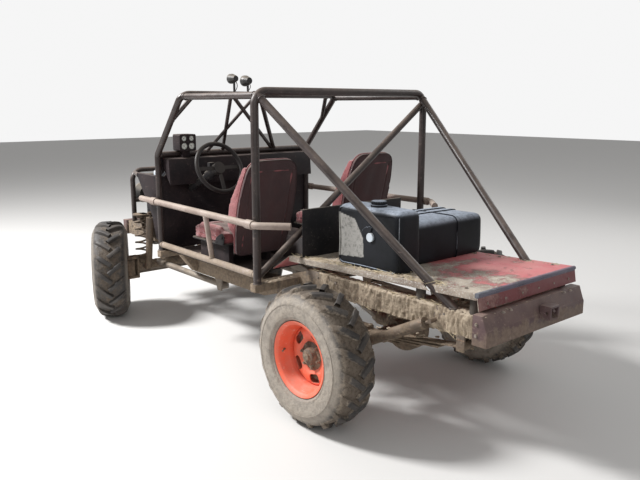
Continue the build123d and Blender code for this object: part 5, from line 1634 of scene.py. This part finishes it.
frameBolts = []
for side in (-1, 1):
    for x in (-0.519, -0.490, 0.706, 0.735):
        for z in (0.640, 0.520 if x > 0 else 0.600):
            frameBolts.append(((x, side * 0.4345, z), (0, side, 0), 0.9))
    for height, spots in ((0.697, (-1.78, -1.66, -1.42, -1.24, -0.86, -0.70)),
                          (0.680, (0.9, 1.10, 1.25, 1.62, 1.78))):
        frameBolts += [((x, side * 0.4102, height), (0, side, 0), 0.8) for x in spots]
boltsAt(frameBolts, "frame_bolts")
print("cage ready")


# front coil springs: a wound wire between the axle's seat and the tower on the rail
coil = {"x": 1.5105, "y": 0.465, "foot": 0.451, "top": 0.809, "radius": 0.046, "wire": 0.0078, "turns": 6}


def makeCoil(side):
    x, y, radius = coil["x"], side * coil["y"], coil["radius"]
    clearSelection()
    bpy.ops.mesh.primitive_circle_add(vertices=14, radius=coil["wire"],
                                      location=(radius, 0, coil["foot"] + 0.008),
                                      rotation=(math.pi / 2, 0, 0))
    bpy.ops.object.transform_apply()
    wire = bpy.context.object
    turns = coil["turns"]
    useModifier(wire, "SCREW", axis="Z", angle=fullTurn * turns,
                screw_offset=coil["top"] - coil["foot"] - 0.016, steps=34 * turns, render_steps=34 * turns)
    wire.location = (x, y, 0)
    pick(wire)
    bpy.ops.object.transform_apply()
    parts = [tidyMesh(wire, 0.00001)]
    for low, high, radius in ((0.4355, 0.4505, 0.0575), (0.8095, 0.8225, 0.0635)):
        parts.append(bevelBy(bar((x, y, low), (x, y, high), radius, 48), 0.0025, 50))
    for low, high in ((0.450, 0.470), (0.790, 0.810)):
        parts.append(bar((x, y, low), (x, y, high), 0.036, 32, 0.036 * 0.86))
    # the tower's top and back plates, and the seat on the axle
    for near, far, back, front, low, high, edge in [
            (0.4105, 0.465, x - 0.0495, x + 0.0495, 0.8095, 0.8225, 0.0015),
            (0.4102, 0.4175, x - 0.0495, x + 0.0495, 0.6235, 0.8225, 0.0015),
            (0.4255, 0.5045, 1.461, 1.520, 0.4095, 0.4385, 0.003)]:
        y0, y1 = sorted((side * near, side * far))
        parts.append(slab((back, y0, low), (front, y1, high), edge))
    for at in (x - 0.045, x + 0.045):
        web = [(at, side * 0.4175, 0.66), (at, side * 0.4175, 0.809), (at, side * 0.462, 0.809)]
        parts.append(extrudeOutline(web, 0.005))
    return joinAll(parts)


coils = joinAll([makeCoil(-1), makeCoil(1)])
settle(smoothBy(coils, 40), "coils_wound", "springSteel")
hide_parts("coil_springs")
coilBolts = []
for side in (-1, 1):
    for x in (-0.034, 0.034):
        for z in (0.650, 0.700):
            coilBolts.append(((coil["x"] + x, side * 0.4177, z), (0, side, 0), 0.85))
boltsAt(coilBolts, "tower_bolts")
print("coils ready")


# instrument box: four pale dials with dark bezels, seen from the seat
dials = [(0.454, 1.418, 0.0235), (0.514, 1.418, 0.0235), (0.454, 1.472, 0.0195), (0.514, 1.472, 0.0195)]
faces, rings, marks = [], [], []
for y, z, radius in dials:
    faces.append(bar((0.6570, y, z), (0.6545, y, z), radius, 32))
    rings.append(ringAt((0.6512, y, z), (1, 0, 0), radius, 0.0022, 36, 8))
    for number in range(9):
        turn = math.radians(225 - 33.75 * number)
        across, up = math.cos(turn), math.sin(turn)
        marks.append(bar((0.6543, y + across * radius * 0.70, z + up * radius * 0.70),
                         (0.6543, y + across * radius * 0.86, z + up * radius * 0.86), 0.0007, 6))
    marks.append(bar((0.6538, y, z), (0.6538, y + radius * 0.55, z + radius * 0.32), 0.0009, 6))
    marks.append(bar((0.6545, y, z), (0.6525, y, z), 0.0026, 12))
settle(smoothBy(joinAll(faces), 30), "dial_faces", "dialWhite")
settle(smoothBy(joinAll(rings + marks), 40), "dial_marks", "lampShell")


# lamps: glass, rim rings and a short lead at each lamp on the header
lamps = [((0.3905, 0.264, 1.886), 0.034), ((0.3905, 0.150, 1.874), 0.038),
         ((1.8725, 0.250, 0.949), 0.088), ((1.8725, -0.250, 0.949), 0.088)]
glass, trims = [], []
for (x, y, z), radius in lamps:
    glass.append(bar((x + 0.0175, y, z), (x + 0.0215, y, z), radius * 0.90, 48, radius * 0.86))
    trims.append(ringAt((x + 0.0185, y, z), (1, 0, 0), radius * 0.93, radius * 0.04 + 0.0008, 48, 10))
    for number in range(-3, 4):
        across = number * radius * 0.24
        tall = math.sqrt(max((radius * 0.84) ** 2 - across ** 2, 0.00001))
        glass.append(bar((x + 0.0214, y + across, z - tall), (x + 0.0214, y + across, z + tall), 0.0007, 6))
settle(smoothBy(joinAll(glass), 40), "lamp_glass", "lampGlass")
settle(smoothBy(joinAll(trims), 40), "lamp_trims", "lampShell")
leads = [hose([(0.349, 0.264, 1.868), (0.330, 0.262, 1.845), (0.345, 0.262, 1.815), (0.366, 0.262, 1.798)],
              0.0028),
         hose([(0.349, 0.150, 1.858), (0.328, 0.153, 1.838), (0.340, 0.157, 1.812), (0.364, 0.160, 1.797)],
              0.0028)]
for where in ((0.349, 0.264, 1.868), (0.349, 0.150, 1.858)):
    leads.append(bar(where, (where[0] + 0.012, where[1], where[2] + 0.004), 0.006, 14))
settle(smoothBy(joinAll(leads), 50), "lamp_leads", "mountRubber")
print("lamps and dials ready")


# engine: plug leads, cover bolts, filler caps and the rings of the air cleaner
engine = {"plugs": [0.975, 1.095, 1.215, 1.335], "bolts": [0.955, 1.170, 1.385], "height": 0.691, "vee": 42}
leadParts, coverBolts, capParts = [], [], []


def onBank(tilt, x, y, z):
    # a point on one bank, measured square to its cover
    spot = tilt @ Vector((0, y, z))
    return Vector((x, spot.y, spot.z + engine["height"]))


for side in (-1, 1):
    tilt = Matrix.Rotation(math.radians(side * engine["vee"]), 4, "X")
    up = tilt @ Vector(upright)
    for x in engine["plugs"]:
        plug, bend = onBank(tilt, x, side * 0.076, 0.200), onBank(tilt, x, side * 0.098, 0.285)
        over = onBank(tilt, x + 0.01, side * 0.052, 0.338)
        end = onBank(tilt, x + 0.02, -side * 0.020, 0.326)
        leadParts.append(hose([plug, bend, over, end], 0.0036, 8))
        leadParts.append(bar(plug, plug + (bend - plug).normalized() * 0.03, 0.0075, 14, 0.0055))
    coverBolts += [(onBank(tilt, x, 0, 0.3125), up, 1.0) for x in engine["bolts"]]
    cap = onBank(tilt, 1.03 if side > 0 else 1.31, 0, 0.3115)
    capParts.append(bar(cap, cap + up * 0.018, 0.021, 28))
    capParts.append(bar(cap + up * 0.016, cap + up * 0.026, 0.017, 6))
settle(smoothBy(joinAll(leadParts), 50), "plug_leads", "mountRubber")
boltsAt(coverBolts, "cover_bolts")
settle(smoothBy(joinAll(capParts), 40), "filler_caps", "blackMetal")
cleanerX = 1.1705
cleaner = [ringAt((cleanerX, 0, 1.030), upright, 0.1665, 0.0022, 64, 8),
           ringAt((cleanerX, 0, 1.056), upright, 0.1665, 0.0016, 64, 8)]
for turn in (0.0, math.pi / 2):
    x, y = 0.02 * math.cos(turn), 0.02 * math.sin(turn)
    cleaner.append(bar((cleanerX - x, -y, 1.084), (cleanerX + x, y, 1.084), 0.003, 10))
settle(smoothBy(joinAll(cleaner), 50), "cleaner_trim", "boltSteel")


# radiator: upright fins and level tubes over the core
fins = []
for low, high, count, step in [((1.6640, -0.2858, 0.792), (1.7150, -0.2842, 1.078), 76, (0, 0.0076, 0)),
                               ((1.6645, -0.286, 0.7984), (1.7145, 0.286, 0.8016), 9, (0, 0, 0.034))]:
    fins.append(useModifier(slab(low, high), "ARRAY", count=count, use_relative_offset=False,
                            use_constant_offset=True, constant_offset_displace=step))
settle(joinAll(fins), "radiator_fins", "gearAlloy")
print("engine and radiator ready")


# frame pieces whose shape is right keep it and get their finish
dressed = {
    "frame_rails": ("framePaint", "frame_paint", 0.0012), "crossmembers": ("framePaint", "frame_paint"),
    "outriggers": ("framePaint", "frame_paint", 0.0012), "main_hoop": ("cagePaint", "cage_paint"),
    "cage_braces": ("cagePaint", "cage_paint"), "roof_rails": ("cagePaint", "cage_paint"),
    "windshield_frame": ("cagePaint", "cage_paint"), "side_bars": ("sidePaint", "side_paint"),
    "floor_pan": ("panelPaint", "panel_paint", 0.001), "cowl": ("panelPaint", "panel_paint", 0.001),
    "dashboard": ("panelPaint", "panel_paint", 0.001), "body_mounts": ("mountRubber", "mount_rubber"),
    "rear_bulkhead": ("blackMetal", "panel_paint", 0.001), "engine": ("engineIron", "engine_iron", 0.0015),
    "gearbox": ("gearAlloy", "gear_alloy", 0.0015), "drive_shafts": ("linkSteel", "link_steel"),
    "rear_axle": ("axleIron", "axle_iron"), "front_axle": ("axleIron", "axle_iron"),
    "leaf_springs": ("springSteel", "spring_steel", 0.0006), "radius_arms": ("linkSteel", "link_steel"),
    "shock_absorbers": ("springSteel", "spring_steel"), "radiator": ("blackMetal", "radiator_metal", 0.001),
    "front_guard": ("cagePaint", "cage_paint"), "lamps": ("lampShell", "lamp_shell"),
    "coolant_bottle": ("bottlePlastic", "bottle_plastic"),
    "exhaust_pipes": ("exhaustSteel", "exhaust_steel"), "steering_column": ("blackMetal", "link_steel"),
    "rear_bumper": ("bumperPaint", "bumper_paint", 0.0012),
    "front_bumper": ("bumperPaint", "bumper_paint", 0.0012),
}
movers = {
    "steering_wheel": ("wheelCover", "wheel_cover"), "knuckle_left": ("axleIron", "axle_iron"),
    "knuckle_right": ("axleIron", "axle_iron"), "tie_rod": ("linkSteel", "link_steel"),
    "pitman_arm": ("linkSteel", "link_steel"),
}
for node, look in dressed.items():
    dressNode(node, *look)
for node, look in movers.items():
    dressNode(node, *look, body=node)
print("frame pieces dressed")

clearSelection()
low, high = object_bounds()
